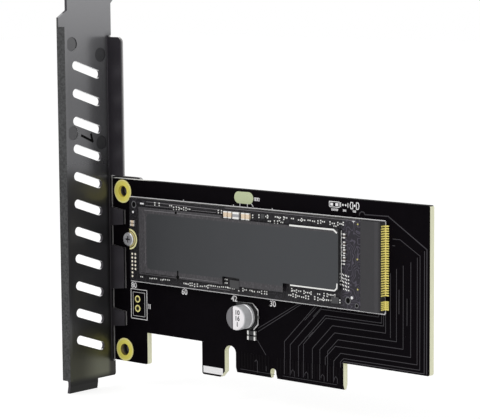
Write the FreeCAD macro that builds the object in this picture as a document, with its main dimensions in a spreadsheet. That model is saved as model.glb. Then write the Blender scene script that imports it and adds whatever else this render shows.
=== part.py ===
"""Adapter card that carries an M.2 solid-state drive in a PCI Express x4 slot.

The card stands on the tips of its edge contacts, as it does in a slot.  Every sub-part is drawn from three
edges of the circuit board: x runs along the card from the edge beside the bracket, y runs from the component
face towards the solder face, and z rises from the tips of the edge contacts.  A last shift, bound to the same
sheet, puts the part's origin at the middle of the key notch, half-way through the board.
"""
import FreeCAD, Part
import Sketcher

import math
import os
import re

SIZES = {
    # Circuit board
    "board_length": 105.0,
    "board_thickness": 1.6,
    "board_top": 47.2,
    "lower_edge": 6.7,
    "tail_drop": 1.85,
    "tail_width": 12.3,
    "hook_left": 32.0,
    "hook_width": 7.9,
    "hook_chamfer": 1.6,
    "board_corner": 0.6,
    # Edge connector, from the middle of its key notch
    "key_from_edge": 56.3,
    "key_width": 1.9,
    "key_height": 2.55,
    "short_tongue": 11.65,
    "long_tongue": 21.65,
    "bevel_height": 1.3,
    "bevel_depth": 0.45,
    "finger_pitch": 1.0,
    "finger_width": 0.7,
    "finger_length": 4.0,
    "finger_gap": 1.5,
    "finger_rise": 1.45,
    "short_finger_count": 11,
    "long_finger_count": 21,
    # Plated copper
    "land_thickness": 0.08,
    "barrel_thickness": 0.12,
    "ring_from_edge": 3.9,
    "ring_height": 1.25,
    "ring_spacing": 42.6,
    "ring_diameter": 6.2,
    "mounting_bore": 3.2,
    "header_from_edge": 8.9,
    "header_height": 12.88,
    "header_pitch": 2.54,
    "header_bore": 1.02,
    "header_land": 1.9,
    # Bracket
    "sheet_thickness": 0.86,
    "bracket_width": 18.42,
    "bracket_gap": 0.33,
    "bracket_foot": 6.2,
    "far_edge_spread": 0.6,
    "fold_relief": 0.4,
    "far_strip": 3.0,
    "foot_corner": 0.6,
    "near_flange_depth": 3.2,
    "near_flange_foot": 4.95,
    "near_flange_top": 87.7,
    "shoulder_height": 90.1,
    "neck_inset": 3.2,
    "neck_slope": 1.8,
    "flare_height": 93.4,
    "flare_rise": 5.0,
    "tab_height": 111.15,
    "tab_width": 20.59,
    "tab_depth": 11.43,
    "tab_corner": 1.6,
    "screw_notch": 4.42,
    "notch_from_side": 3.2,
    "notch_from_end": 5.08,
    "fold_radius": 0.12,
    "fold_crown": 0.35,
    "stub_reach": 0.12,
    "side_tab_reach": 4.75,
    "side_tab_taper": 0.6,
    "upper_flange_foot": 48.0,
    "upper_flange_top": 84.6,
    "upper_flange_corner": 1.5,
    "first_side_tab": 34.5,
    "first_side_tab_length": 5.0,
    "second_side_tab": 17.4,
    "second_side_tab_length": 12.0,
    "third_side_tab": 7.3,
    "third_side_tab_length": 5.0,
    "ear_reach": 9.4,
    "ear_height": 7.0,
    "ear_above_ring": 3.8,
    "ear_below_ring": 2.7,
    "ear_corner": 1.6,
    "tapped_bore": 2.05,
    "tongue_width": 10.19,
    "tongue_from_far_side": 6.1,
    "tongue_tip": 8.85,
    "tongue_bend": 7.0,
    "tongue_set": 0.35,
    "shoulder_radius": 1.2,
    "vent_width": 2.3,
    "vent_length": 8.2,
    "vent_angle": 18.8,
    "vent_pitch": 7.247,
    "vent_count": 11,
    "vent_from_far_side": 8.6,
    "vent_height": 3.75,
    "dimple_diameter": 3.7,
    "dimple_depth": 0.18,
    "dimple_spread": 10.25,
    "dimple_fall": 3.1,
    "dimple_height": 58.4,
    "dimple_rise": 23.15,
    # Drive module
    "module_edge": 8.1,
    "module_axis": 31.6,
    "module_length": 80.0,
    "module_width": 22.0,
    "module_thickness": 0.8,
    "module_lift": 1.1,
    "module_tongue_width": 19.85,
    "module_tongue_length": 2.0,
    "module_key_width": 1.2,
    "module_key_offset": 6.125,
    "module_notch": 3.5,
    "module_land": 5.5,
    "module_pad_pitch": 0.5,
    "module_pad_width": 0.35,
    "module_pad_length": 1.5,
    "second_length": 60.0,
    "third_length": 42.0,
    "fourth_length": 30.0,
    "spare_land": 5.6,
    "spacer_bore": 4.0,
    "spacer_flange": 4.6,
    "spacer_clearance": 0.1,
    "screw_head": 3.6,
    "screw_head_height": 0.7,
    "screw_shank": 1.9,
    "screw_length": 3.0,
    "screw_head_bevel": 0.2,
    "screw_recess": 1.7,
    "screw_recess_arm": 0.42,
    "screw_recess_depth": 0.35,
    "thread_clearance": 0.05,
    # Parts on the module, from its bracket-side end and its middle line, as laid out for one length
    "layout_length": 80.0,
    "package_thickness": 0.85,
    "label_thickness": 0.08,
    "memory_from_end": 5.0,
    "memory_length": 13.4,
    "memory_width": 17.0,
    "memory_space": 1.6,
    "cache_from_end": 38.2,
    "cache_length": 10.5,
    "cache_width": 13.6,
    "controller_from_end": 56.0,
    "controller_length": 15.4,
    "controller_width": 14.9,
    "controller_shift": 0.85,
    "label_from_end": 4.3,
    "label_length": 67.2,
    "label_top": 8.95,
    "label_bottom": 8.75,
    "label_step_from_end": 33.7,
    "label_step": 0.8,
    "label_waist_from_end": 53.9,
    "label_foot_step": 2.3,
    "label_window": 5.8,
    "label_window_height": 2.1,
    "label_corner": 0.7,
    "tall_capacitor_length": 1.2,
    "tall_capacitor_width": 1.75,
    "tall_capacitor_height": 0.55,
    "tall_capacitor_pitch": 1.5,
    "first_pair_from_end": 33.9,
    "second_pair_from_end": 39.9,
    "coil_from_end": 37.1,
    "coil_length": 2.1,
    "edge_parts_offset": 1.0,
    "coil_height": 0.65,
    "end_capacitor_from_end": 0.55,
    "end_capacitor_length": 1.45,
    "end_capacitor_width": 0.62,
    "end_capacitor_height": 0.35,
    "end_capacitor_offset": 3.6,
    "end_capacitor_pitch": 0.84,
    "regulator_from_end": 35.9,
    "regulator_length": 3.1,
    "regulator_width": 2.07,
    "regulator_offset": 9.5,
    "regulator_height": 0.5,
    "bus_capacitor_from_end": 72.6,
    "bus_capacitor_length": 0.6,
    "bus_capacitor_width": 1.05,
    "bus_capacitor_height": 0.4,
    "bus_capacitor_pitch": 1.88,
    "bus_capacitor_foot": 0.6,
    "bus_capacitor_count": 4,
    # M.2 socket
    "socket_height": 2.4,
    "socket_width": 21.9,
    "socket_grip": 2.0,
    "socket_cap": 5.7,
    "socket_shelf": 1.9,
    "socket_bevel": 0.24,
    "socket_slot_depth": 2.4,
    "socket_slot_clearance": 0.08,
    "socket_rib": 0.6,
    "socket_rib_setback": 0.3,
    "peg_diameter": 1.1,
    "peg_length": 1.3,
    "peg_clearance": 0.1,
    "peg_from_side": 1.5,
    "peg_from_back": 2.4,
    "tail_metal": 0.2,
    "tail_pin_width": 0.32,
    "tail_reach": 1.1,
    "tail_rise": 1.7,
    "long_row_foot": 24.6,
    "long_row_pitch": 0.596,
    "long_row_count": 29,
    "short_row_foot": 21.2,
    "short_row_pitch": 0.46,
    "short_row_count": 5,
    # Electrolytic capacitor and the chips below it
    "can_from_edge": 47.95,
    "can_axis": 15.1,
    "can_diameter": 6.2,
    "can_height": 4.15,
    "can_shoulder": 0.45,
    "can_groove": 0.25,
    "can_groove_width": 0.45,
    "can_groove_height": 0.75,
    "can_base_size": 6.6,
    "can_base_height": 0.85,
    "can_base_chamfer": 1.7,
    "can_lead_width": 0.65,
    "can_lead_reach": 0.5,
    "can_lead_metal": 0.15,
    "can_lead_length": 2.6,
    "board_chip_from_edge": 48.0,
    "board_chip_length": 2.7,
    "board_chip_width": 1.0,
    "board_chip_height": 0.45,
    "board_chip_axis": 10.9,
    "board_chip_pitch": 1.35,
}

# Planes of the drive, outward from the component face, and the places of the socket and its locating pegs
MODULE_REAR = "module_lift"
MODULE_FACE = "module_lift + module_thickness"
SCREW_SEAT = "module_lift + module_thickness + land_thickness"
SOCKET_FRONT = "module_edge + module_length - socket_grip"
PEG_FROM_EDGE = f"{SOCKET_FRONT} + socket_cap - peg_from_back"
PEG_HEIGHTS = ["module_axis - socket_width / 2 + peg_from_side", "module_axis + socket_width / 2 - peg_from_side"]

def along_drive(place):
    """Spread a size laid out along the drive with the drive's length."""
    return f"({place}) * module_length / layout_length"


doc = FreeCAD.newDocument("adapter_card")
sheet = doc.addObject("Spreadsheet::Sheet", "Sizes")
for row, (alias, value) in enumerate(SIZES.items(), start=1):
    sheet.set(f"A{row}", alias.replace("_", " "))
    sheet.set(f"B{row}", str(value))
    sheet.setAlias(f"B{row}", alias)
doc.recompute()

subparts = []


def cells(text):
    """Name the sheet in front of every alias of an expression."""
    return re.sub(r"[a-z]+(?:_[a-z]+)+", lambda word: "Sizes." + word.group(0), str(text))


def bind(thing, prop, text):
    """Tie a property to an expression over the sheet."""
    thing.setExpression(prop, cells(text))


def plane(body, role):
    """Find one of the origin planes of a body."""
    return next(feature for feature in body.Origin.OriginFeatures if feature.Role == role)


def new_body(name):
    """Start a sub-part whose solids may lie apart, and shift it to the part's origin."""
    body = doc.addObject("PartDesign::Body", name)
    body.Label = name
    body.AllowCompound = True
    shift_to_origin(body)
    subparts.append(body)
    return body


def shift_to_origin(thing):
    """Move a finished sub-part from the board's edges to the middle of the key notch."""
    bind(thing, "Placement.Base.x", "-key_from_edge")
    bind(thing, "Placement.Base.y", "-board_thickness / 2")


def new_sketch(body, name, role, across="0", along="0", height="0"):
    """Attach an empty sketch to an origin plane, moved within it and raised from it."""
    sketch = body.newObject("Sketcher::SketchObject", name)
    sketch.AttachmentSupport = (plane(body, role), [""])
    sketch.MapMode = "FlatFace"
    bind(sketch, "AttachmentOffset.Base.x", across)
    bind(sketch, "AttachmentOffset.Base.y", along)
    bind(sketch, "AttachmentOffset.Base.z", height)
    doc.recompute()
    return sketch


def fix(sketch, kind, geometry, point, text):
    """Hold one coordinate of a sketch point at an expression over the sheet."""
    constraint = sketch.addConstraint(Sketcher.Constraint(kind, -1, 1, geometry, point, 1.0))
    bind(sketch, f"Constraints[{constraint}]", text)


def draw_outline(sketch, corners):
    """Draw a closed polygon whose every corner stands at a pair of expressions."""
    first = sketch.GeometryCount
    count = len(corners)
    turn = 2.0 * math.pi / count
    for index in range(count):
        ends = [FreeCAD.Vector(math.cos(turn * k), math.sin(turn * k), 0) for k in (index, index + 1)]
        sketch.addGeometry(Part.LineSegment(*ends))
    for index in range(count):
        following = first + (index + 1) % count
        sketch.addConstraint(Sketcher.Constraint("Coincident", first + index, 2, following, 1))
    for index, (across, along) in enumerate(corners):
        fix(sketch, "DistanceX", first + index, 1, across)
        fix(sketch, "DistanceY", first + index, 1, along)


def outline(body, name, role, corners, **place):
    """Sketch one closed polygon."""
    sketch = new_sketch(body, name, role, **place)
    draw_outline(sketch, corners)
    doc.recompute()
    return sketch


def box_corners(left, bottom, right, top):
    """List the corners of an upright rectangle."""
    return [(left, bottom), (right, bottom), (right, top), (left, top)]


def rectangle(body, name, role, left, bottom, right, top, **place):
    """Sketch one upright rectangle."""
    return outline(body, name, role, box_corners(left, bottom, right, top), **place)


def circles(body, name, role, centres, diameter, **place):
    """Sketch circles of one diameter."""
    sketch = new_sketch(body, name, role, **place)
    for index, (across, along) in enumerate(centres):
        centre = FreeCAD.Vector(float(index), 0.0, 0.0)
        sketch.addGeometry(Part.Circle(centre, FreeCAD.Vector(0, 0, 1), 0.4))
        fix(sketch, "DistanceX", index, 3, across)
        fix(sketch, "DistanceY", index, 3, along)
        constraint = sketch.addConstraint(Sketcher.Constraint("Diameter", index, 1.0))
        bind(sketch, f"Constraints[{constraint}]", diameter)
    doc.recompute()
    return sketch


def pad(body, name, sketch, length, inward=False):
    """Raise a sketch along its normal, or sink it the other way."""
    feature = body.newObject("PartDesign::Pad", name)
    feature.Profile = sketch
    feature.Reversed = inward
    bind(feature, "Length", length)
    doc.recompute()
    return feature


def pocket(body, name, sketch, length=None, outward=False):
    """Cut a sketch to a depth against its normal, or right through both ways."""
    feature = body.newObject("PartDesign::Pocket", name)
    feature.Profile = sketch
    feature.Reversed = outward
    if length is None:
        feature.SideType = "Symmetric"
        feature.Type = "ThroughAll"
    else:
        bind(feature, "Length", length)
    doc.recompute()
    return feature


def repeat(body, name, original, direction, step, count, backwards=False):
    """Repeat a feature along an axis of its body, or against it."""
    feature = body.newObject("PartDesign::LinearPattern", name)
    feature.Originals = [original]
    feature.Direction = (next(f for f in body.Origin.OriginFeatures if f.Role == direction), [""])
    feature.Mode = "Spacing"
    feature.Reversed = backwards
    bind(feature, "Offset", step)
    bind(feature, "Occurrences", count)
    body.Tip = feature
    doc.recompute()
    return feature


def edges_along(feature, axis, places, tolerance=0.02):
    """Name the straight edges parallel to an axis that stand at the given places across it.

    A place is a pair of coordinates, in x, y, z order without the axis; None takes any value there.
    """
    keep = [k for k in range(3) if k != "xyz".index(axis)]
    found = []
    for number, edge in enumerate(feature.Shape.Edges, start=1):
        start, end = edge.Vertexes[0].Point, edge.Vertexes[-1].Point
        if edge.Curve.TypeId != "Part::GeomLine" or any(abs(start[k] - end[k]) > tolerance for k in keep):
            continue
        if any(all(want is None or abs(start[k] - want) < tolerance for k, want in zip(keep, place))
               for place in places):
            found.append(f"Edge{number}")
    if not found:
        raise RuntimeError(f"{feature.Label}: no edge along {axis} at {places}")
    return found


def round_edges(body, name, feature, edges, radius):
    """Fillet edges of the last feature."""
    fillet = body.newObject("PartDesign::Fillet", name)
    fillet.Base = (feature, edges)
    bind(fillet, "Radius", radius)
    doc.recompute()
    return fillet


def bevel_edges(body, name, feature, edges, size):
    """Chamfer edges of the last feature."""
    chamfer = body.newObject("PartDesign::Chamfer", name)
    chamfer.Base = (feature, edges)
    bind(chamfer, "Size", size)
    doc.recompute()
    return chamfer


def build_circuit_board():
    """Laminate board with its contact tongue, retention hook and plated holes left open."""
    body = new_body("circuit_board")
    tongue_left = "key_from_edge - key_width / 2 - short_tongue"
    tongue_right = "key_from_edge + key_width / 2 + long_tongue"
    hook_right = "hook_left + hook_width"
    corners = [
        ("0", "-tail_drop"), ("tail_width", "-tail_drop"),
        ("tail_width", "lower_edge"), ("hook_left", "lower_edge"),
        ("hook_left", "-tail_drop"), (f"{hook_right} - hook_chamfer", "-tail_drop"),
        (hook_right, "hook_chamfer - tail_drop"), (hook_right, "lower_edge"),
        (tongue_left, "lower_edge"), (tongue_left, "0"),
        (tongue_right, "0"), (tongue_right, "lower_edge"),
        ("board_length", "lower_edge"), ("board_length", "board_top"), ("0", "board_top"),
    ]
    blank = pad(body, "blank", outline(body, "board_outline", "XZ_Plane", corners),
                "board_thickness", inward=True)
    left = SIZES["key_from_edge"] - SIZES["key_width"] / 2 - SIZES["short_tongue"]
    gap_sides = [(SIZES["hook_left"] + SIZES["hook_width"], SIZES["lower_edge"]), (left, SIZES["lower_edge"])]
    rounded = round_edges(body, "hook_gap_crown", blank, edges_along(blank, "y", gap_sides),
                          "(key_from_edge - key_width / 2 - short_tongue - hook_left - hook_width) / 2 - 0.05")
    outer = [(SIZES["board_length"], SIZES["board_top"]), (SIZES["board_length"], SIZES["lower_edge"]),
             (SIZES["tail_width"], -SIZES["tail_drop"]), (SIZES["hook_left"], -SIZES["tail_drop"])]
    round_edges(body, "board_corners", rounded, edges_along(rounded, "y", outer), "board_corner")
    key = rectangle(body, "key_outline", "XZ_Plane", "key_from_edge - key_width / 2", "-1",
                    "key_from_edge + key_width / 2", "key_height")
    notch = pocket(body, "key_notch", key)
    crown = [(SIZES["key_from_edge"] + side * SIZES["key_width"] / 2, SIZES["key_height"]) for side in (-1, 1)]
    round_edges(body, "key_crown", notch, edges_along(notch, "y", crown), "key_width / 2 - 0.05")
    bevel = new_sketch(body, "bevel_outline", "YZ_Plane", height=tongue_left)
    draw_outline(bevel, [("-1", "-1"), ("bevel_depth", "-1"), ("bevel_depth", "0"), ("0", "bevel_height"),
                         ("-1", "bevel_height")])
    draw_outline(bevel, [("board_thickness + 1", "-1"), ("board_thickness + 1", "bevel_height"),
                         ("board_thickness", "bevel_height"), ("board_thickness - bevel_depth", "0"),
                         ("board_thickness - bevel_depth", "-1")])
    doc.recompute()
    pocket(body, "contact_bevel", bevel, "short_tongue + key_width + long_tongue", outward=True)
    rings = [("ring_from_edge", "ring_height"), ("ring_from_edge", "ring_height + ring_spacing")]
    pocket(body, "mounting_holes", circles(body, "mounting_centres", "XZ_Plane", rings, "mounting_bore"))
    pins = [("header_from_edge", "header_height"), ("header_from_edge", "header_height + header_pitch")]
    pocket(body, "header_holes", circles(body, "header_centres", "XZ_Plane", pins, "header_bore"))
    posts = [("module_edge", "module_axis")] + [
        (f"module_edge + module_length - {name}", "module_axis")
        for name in ("second_length", "third_length", "fourth_length")]
    pocket(body, "post_holes", circles(body, "post_centres", "XZ_Plane", posts, "spacer_bore"))
    pegs = [(PEG_FROM_EDGE, height) for height in PEG_HEIGHTS]
    pocket(body, "peg_holes", circles(body, "peg_centres", "XZ_Plane", pegs, "peg_diameter + 2 * peg_clearance"))


def build_plated_ring(name, across, along, bore, land):
    """Copper sleeve through a hole, with a round land on both faces of the board."""
    body = new_body(name)
    for side, height in (("front", "0"), ("rear", "-board_thickness - land_thickness")):
        sketch = circles(body, f"{side}_land_outline", "XZ_Plane", [(across, along)], land, height=height)
        pad(body, f"{side}_land", sketch, "land_thickness")
    sleeve = circles(body, "sleeve_outline", "XZ_Plane", [(across, along)], bore, height="land_thickness")
    pad(body, "sleeve", sleeve, "board_thickness + 2 * land_thickness", inward=True)
    drilled = circles(body, "bore_outline", "XZ_Plane", [(across, along)], f"{bore} - 2 * barrel_thickness")
    pocket(body, "bore", drilled)


def build_rings():
    """Plated holes: two for the bracket, two for a header, three spare ones under the drive."""
    build_plated_ring("upper_mounting_ring", "ring_from_edge", "ring_height + ring_spacing",
                      "mounting_bore", "ring_diameter")
    build_plated_ring("lower_mounting_ring", "ring_from_edge", "ring_height", "mounting_bore", "ring_diameter")
    build_plated_ring("upper_header_ring", "header_from_edge", "header_height + header_pitch",
                      "header_bore", "header_land")
    build_plated_ring("lower_header_ring", "header_from_edge", "header_height", "header_bore", "header_land")
    for name in ("second", "third", "fourth"):
        build_plated_ring(f"{name}_post_ring", f"module_edge + module_length - {name}_length", "module_axis",
                          "spacer_bore", "spare_land")


def build_edge_contacts(name, height, inward):
    """Gold contacts of one face of the tongue, eleven before the key and twenty-one after it."""
    body = new_body(name)
    half = "finger_width / 2"
    short_end = "key_from_edge - finger_gap"
    long_start = "key_from_edge + finger_gap"
    top = "finger_rise + finger_length"
    for group, centre in (("short", short_end), ("long", long_start)):
        sketch = rectangle(body, f"{group}_contact_outline", "XZ_Plane", f"{centre} - {half}", "finger_rise",
                           f"{centre} + {half}", top, height=height)
        contact = pad(body, f"{group}_contact", sketch, "land_thickness", inward=inward)
        repeat(body, f"{group}_row", contact, "X_Axis", "finger_pitch", f"{group}_finger_count",
               backwards=group == "short")


def build_bracket():
    """Folded steel bracket: plate, two long flanges, side tabs, rear ears, slotted tab and slot tongue."""
    body = new_body("bracket")
    inner, outer = "-bracket_gap", "-bracket_gap - sheet_thickness"
    near, ear_plane = "-bracket_width", "board_thickness + land_thickness"
    far_top = f"{near} + neck_inset + tab_width"
    fold_foot, fold_top = "-tail_drop - fold_relief", "upper_flange_top + fold_relief"
    x_inner, x_outer = -SIZES["bracket_gap"], -SIZES["bracket_gap"] - SIZES["sheet_thickness"]
    y_near, thick = -SIZES["bracket_width"], SIZES["sheet_thickness"]
    # Plate with the near flange folded along its whole length
    plate = rectangle(body, "plate_outline", "YZ_Plane", near, "-near_flange_foot", "-far_strip",
                      "shoulder_height", height=outer)
    pad(body, "plate", plate, "sheet_thickness")
    near_flange = rectangle(body, "near_flange_outline", "XZ_Plane", outer, "-near_flange_foot",
                            f"{outer} + near_flange_depth", "near_flange_top",
                            height="bracket_width - sheet_thickness")
    last = pad(body, "near_flange", near_flange, "sheet_thickness")
    last = round_edges(body, "near_inner_fold", last,
                       edges_along(last, "z", [(x_inner, y_near + thick)]), "fold_radius")
    round_edges(body, "near_outer_fold", last, edges_along(last, "z", [(x_outer, y_near)]), "fold_crown")
    # Far strip of the plate, folded into a low stub along the board
    strip = rectangle(body, "far_strip_outline", "YZ_Plane", "-far_strip", fold_foot, "0", fold_top, height=outer)
    pad(body, "far_strip", strip, "sheet_thickness")
    stub = rectangle(body, "stub_outline", "XZ_Plane", outer, fold_foot, "stub_reach", fold_top)
    last = pad(body, "stub", stub, "sheet_thickness")
    last = round_edges(body, "far_inner_fold", last, edges_along(last, "z", [(x_inner, -thick)]), "fold_radius")
    round_edges(body, "far_outer_fold", last, edges_along(last, "z", [(x_outer, 0.0)]), "fold_crown")
    # The stub rises to a full flange above the board and to three tapered tabs in front of it
    upper = rectangle(body, "upper_flange_outline", "XZ_Plane", "stub_reach", "upper_flange_foot",
                      "side_tab_reach", "upper_flange_top")
    pad(body, "upper_flange", upper, "sheet_thickness")
    for name in ("first", "second", "third"):
        foot, top = f"{name}_side_tab", f"{name}_side_tab + {name}_side_tab_length"
        corners = [("stub_reach", foot), ("side_tab_reach", f"{foot} + side_tab_taper"),
                   ("side_tab_reach", f"{top} - side_tab_taper"), ("stub_reach", top)]
        sketch = outline(body, f"{name}_side_tab_outline", "XZ_Plane", corners)
        pad(body, f"{name}_tab", sketch, "sheet_thickness")
    # Foot below the folds, and the neck above them that spreads again below the top tab
    tongue_side = "-tongue_from_far_side - tongue_width"
    foot_corners = [(tongue_side, "-bracket_foot"), ("far_edge_spread", "-bracket_foot"),
                    ("far_edge_spread", fold_foot), ("-far_strip", fold_foot),
                    ("-far_strip", "-near_flange_foot"), (tongue_side, "-near_flange_foot")]
    pad(body, "foot", outline(body, "foot_outline", "YZ_Plane", foot_corners, height=outer), "sheet_thickness")
    neck_corners = [
        (f"{near} + fold_crown", "shoulder_height"), ("-far_strip", "shoulder_height"),
        ("-far_strip", fold_top), ("far_edge_spread", fold_top), ("far_edge_spread", "flare_height"),
        (far_top, "flare_height + flare_rise"), (far_top, "tab_height"), (f"{near} + neck_inset", "tab_height"),
        (f"{near} + neck_inset", "shoulder_height + neck_slope"),
    ]
    pad(body, "neck", outline(body, "neck_outline", "YZ_Plane", neck_corners, height=outer), "sheet_thickness")
    # Rear ears: the plate runs on past the board's edge and folds over its solder face
    for name, centre in (("lower", "ring_height"), ("upper", "ring_height + ring_spacing")):
        foot = f"{centre} - ear_below_ring" if name == "lower" else f"{centre} + ear_above_ring - ear_height"
        web = rectangle(body, f"{name}_ear_web_outline", "YZ_Plane", "-sheet_thickness", foot,
                        f"{ear_plane} + sheet_thickness", f"{foot} + ear_height", height=outer)
        pad(body, f"{name}_ear_web", web, "sheet_thickness")
        ear = rectangle(body, f"{name}_ear_outline", "XZ_Plane", outer, foot, "ear_reach",
                        f"{foot} + ear_height", height=f"-({ear_plane}) - sheet_thickness")
        pad(body, f"{name}_ear", ear, "sheet_thickness")
    # Top tab, folded outwards, with its screw notch open at the side
    tab = rectangle(body, "tab_outline", "XY_Plane", f"{outer} - tab_depth + sheet_thickness",
                    f"{near} + neck_inset", outer, far_top, height="tab_height - sheet_thickness")
    pad(body, "tab", tab, "sheet_thickness")
    notch_y = f"{far_top} - notch_from_side"
    notch_x = f"{outer} + sheet_thickness - notch_from_end"
    notch = circles(body, "notch_centre", "XY_Plane", [(notch_x, notch_y)], "screw_notch", height="tab_height")
    pocket(body, "notch_bore", notch, "2 * sheet_thickness")
    mouth = rectangle(body, "notch_mouth_outline", "XY_Plane", f"{notch_x} - screw_notch / 2", notch_y,
                      f"{notch_x} + screw_notch / 2", f"{far_top} + 1", height="tab_height")
    pocket(body, "notch_mouth", mouth, "2 * sheet_thickness")
    # Tongue that drops into the chassis, set back a little at its tip
    set_back = [(outer, "-bracket_foot"), (inner, "-bracket_foot"), (inner, "-tongue_bend"),
                (f"{inner} - tongue_set", "-tongue_tip"), (f"{outer} - tongue_set", "-tongue_tip"),
                (outer, "-tongue_bend")]
    tongue = outline(body, "tongue_outline", "XZ_Plane", set_back, height="tongue_from_far_side")
    last = pad(body, "tongue", tongue, "tongue_width")
    # Corners, shoulders and the shorter folds
    tongue_left = -SIZES["tongue_from_far_side"] - SIZES["tongue_width"]
    last = round_edges(body, "shoulder", last,
                       edges_along(last, "x", [(tongue_left, -SIZES["near_flange_foot"])]), "shoulder_radius")
    y_ear = SIZES["board_thickness"] + SIZES["land_thickness"]
    last = round_edges(body, "ear_inner_folds", last,
                       edges_along(last, "z", [(x_inner, y_ear)]), "fold_radius")
    last = round_edges(body, "ear_outer_folds", last,
                       edges_along(last, "z", [(x_outer, y_ear + thick)]), "fold_radius + sheet_thickness")
    corner = (SIZES["side_tab_reach"], SIZES["upper_flange_top"])
    last = round_edges(body, "upper_flange_round", last, edges_along(last, "y", [corner]), "upper_flange_corner")
    ear_corners = [(SIZES["ear_reach"], None)]
    last = round_edges(body, "ear_rounds", last, edges_along(last, "y", ear_corners), "ear_corner")
    tab_end = x_outer + thick - SIZES["tab_depth"]
    last = round_edges(body, "tab_rounds", last, edges_along(last, "z", [(tab_end, None)]), "tab_corner")
    last = round_edges(body, "tab_fold", last,
                       edges_along(last, "y", [(x_inner, SIZES["tab_height"])]), "fold_radius + sheet_thickness")
    last = round_edges(body, "foot_round", last,
                       edges_along(last, "x", [(SIZES["far_edge_spread"], -SIZES["bracket_foot"])]),
                       "foot_corner")
    # Tapped holes for the two board screws
    for name, centre in (("lower", "ring_height"), ("upper", "ring_height + ring_spacing")):
        hole = circles(body, f"{name}_tapped_outline", "XZ_Plane", [("ring_from_edge", centre)], "tapped_bore",
                       height=f"-({ear_plane})")
        pocket(body, f"{name}_tapped_hole", hole, "sheet_thickness + 1")
    # Slanted vents and the dimples between them
    vent = new_sketch(body, "vent_outline", "YZ_Plane", across="-vent_from_far_side", along="vent_height",
                      height=inner)
    bind(vent, "AttachmentOffset.Rotation.Angle", "-vent_angle")
    draw_outline(vent, box_corners("-vent_length / 2", "-vent_width / 2", "vent_length / 2", "vent_width / 2"))
    vent_centres = [("-vent_length / 2", "0"), ("vent_length / 2", "0")]
    doc.recompute()
    vent_cut = pocket(body, "vent", vent, "2 * sheet_thickness")
    repeat(body, "vents", vent_cut, "Z_Axis", "vent_pitch", "vent_count")
    ends = circles(body, "vent_ends_outline", "YZ_Plane", vent_centres, "vent_width",
                   across="-vent_from_far_side", along="vent_height", height=inner)
    bind(ends, "AttachmentOffset.Rotation.Angle", "-vent_angle")
    doc.recompute()
    ends_cut = pocket(body, "vent_ends", ends, "2 * sheet_thickness")
    repeat(body, "vent_rounds", ends_cut, "Z_Axis", "vent_pitch", "vent_count")
    rows = []
    for rise in ("0", "dimple_rise"):
        rows += [("-vent_from_far_side - dimple_spread / 2", f"dimple_height + {rise} + dimple_fall / 2"),
                 ("-vent_from_far_side + dimple_spread / 2", f"dimple_height + {rise} - dimple_fall / 2")]
    dimples = circles(body, "dimple_centres", "YZ_Plane", rows, "dimple_diameter", height=inner)
    pocket(body, "dimples", dimples, "dimple_depth")


def build_post():
    """Threaded post of the drive: a barrel pressed into the board and a flange that the drive rests on."""
    body = new_body("module_post")
    centre = [("module_edge", "module_axis")]
    pad(body, "flange", circles(body, "flange_outline", "XZ_Plane", centre, "spacer_flange"), MODULE_REAR)
    barrel = circles(body, "barrel_outline", "XZ_Plane", centre, "spacer_bore - 2 * spacer_clearance")
    pad(body, "barrel", barrel, "board_thickness", inward=True)
    bore = circles(body, "bore_outline", "XZ_Plane", centre, "screw_shank + 2 * thread_clearance")
    pocket(body, "bore", bore)


def build_screw():
    """Small screw that holds the free end of the drive on its post."""
    body = new_body("module_screw")
    centre = [("module_edge", "module_axis")]
    head = circles(body, "head_outline", "XZ_Plane", centre, "screw_head", height=SCREW_SEAT)
    last = pad(body, "head", head, "screw_head_height")
    crown = min(range(len(last.Shape.Edges)), key=lambda index: last.Shape.Edges[index].BoundBox.YMax) + 1
    bevel_edges(body, "head_bevel", last, [f"Edge{crown}"], "screw_head_bevel")
    shank = circles(body, "shank_outline", "XZ_Plane", centre, "screw_shank", height=SCREW_SEAT)
    pad(body, "shank", shank, "screw_length", inward=True)
    tip, half = "screw_recess / 2", "screw_recess_arm / 2"
    recess = new_sketch(body, "recess_outline", "XZ_Plane", across="module_edge", along="module_axis",
                        height=f"{SCREW_SEAT} + screw_head_height")
    draw_outline(recess, [
        (f"-{tip}", f"-{half}"), (f"-{half}", f"-{half}"), (f"-{half}", f"-{tip}"), (half, f"-{tip}"),
        (half, f"-{half}"), (tip, f"-{half}"), (tip, half), (half, half), (half, tip), (f"-{half}", tip),
        (f"-{half}", half), (f"-{tip}", half)])
    doc.recompute()
    pocket(body, "recess", recess, "screw_recess_depth")


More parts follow.
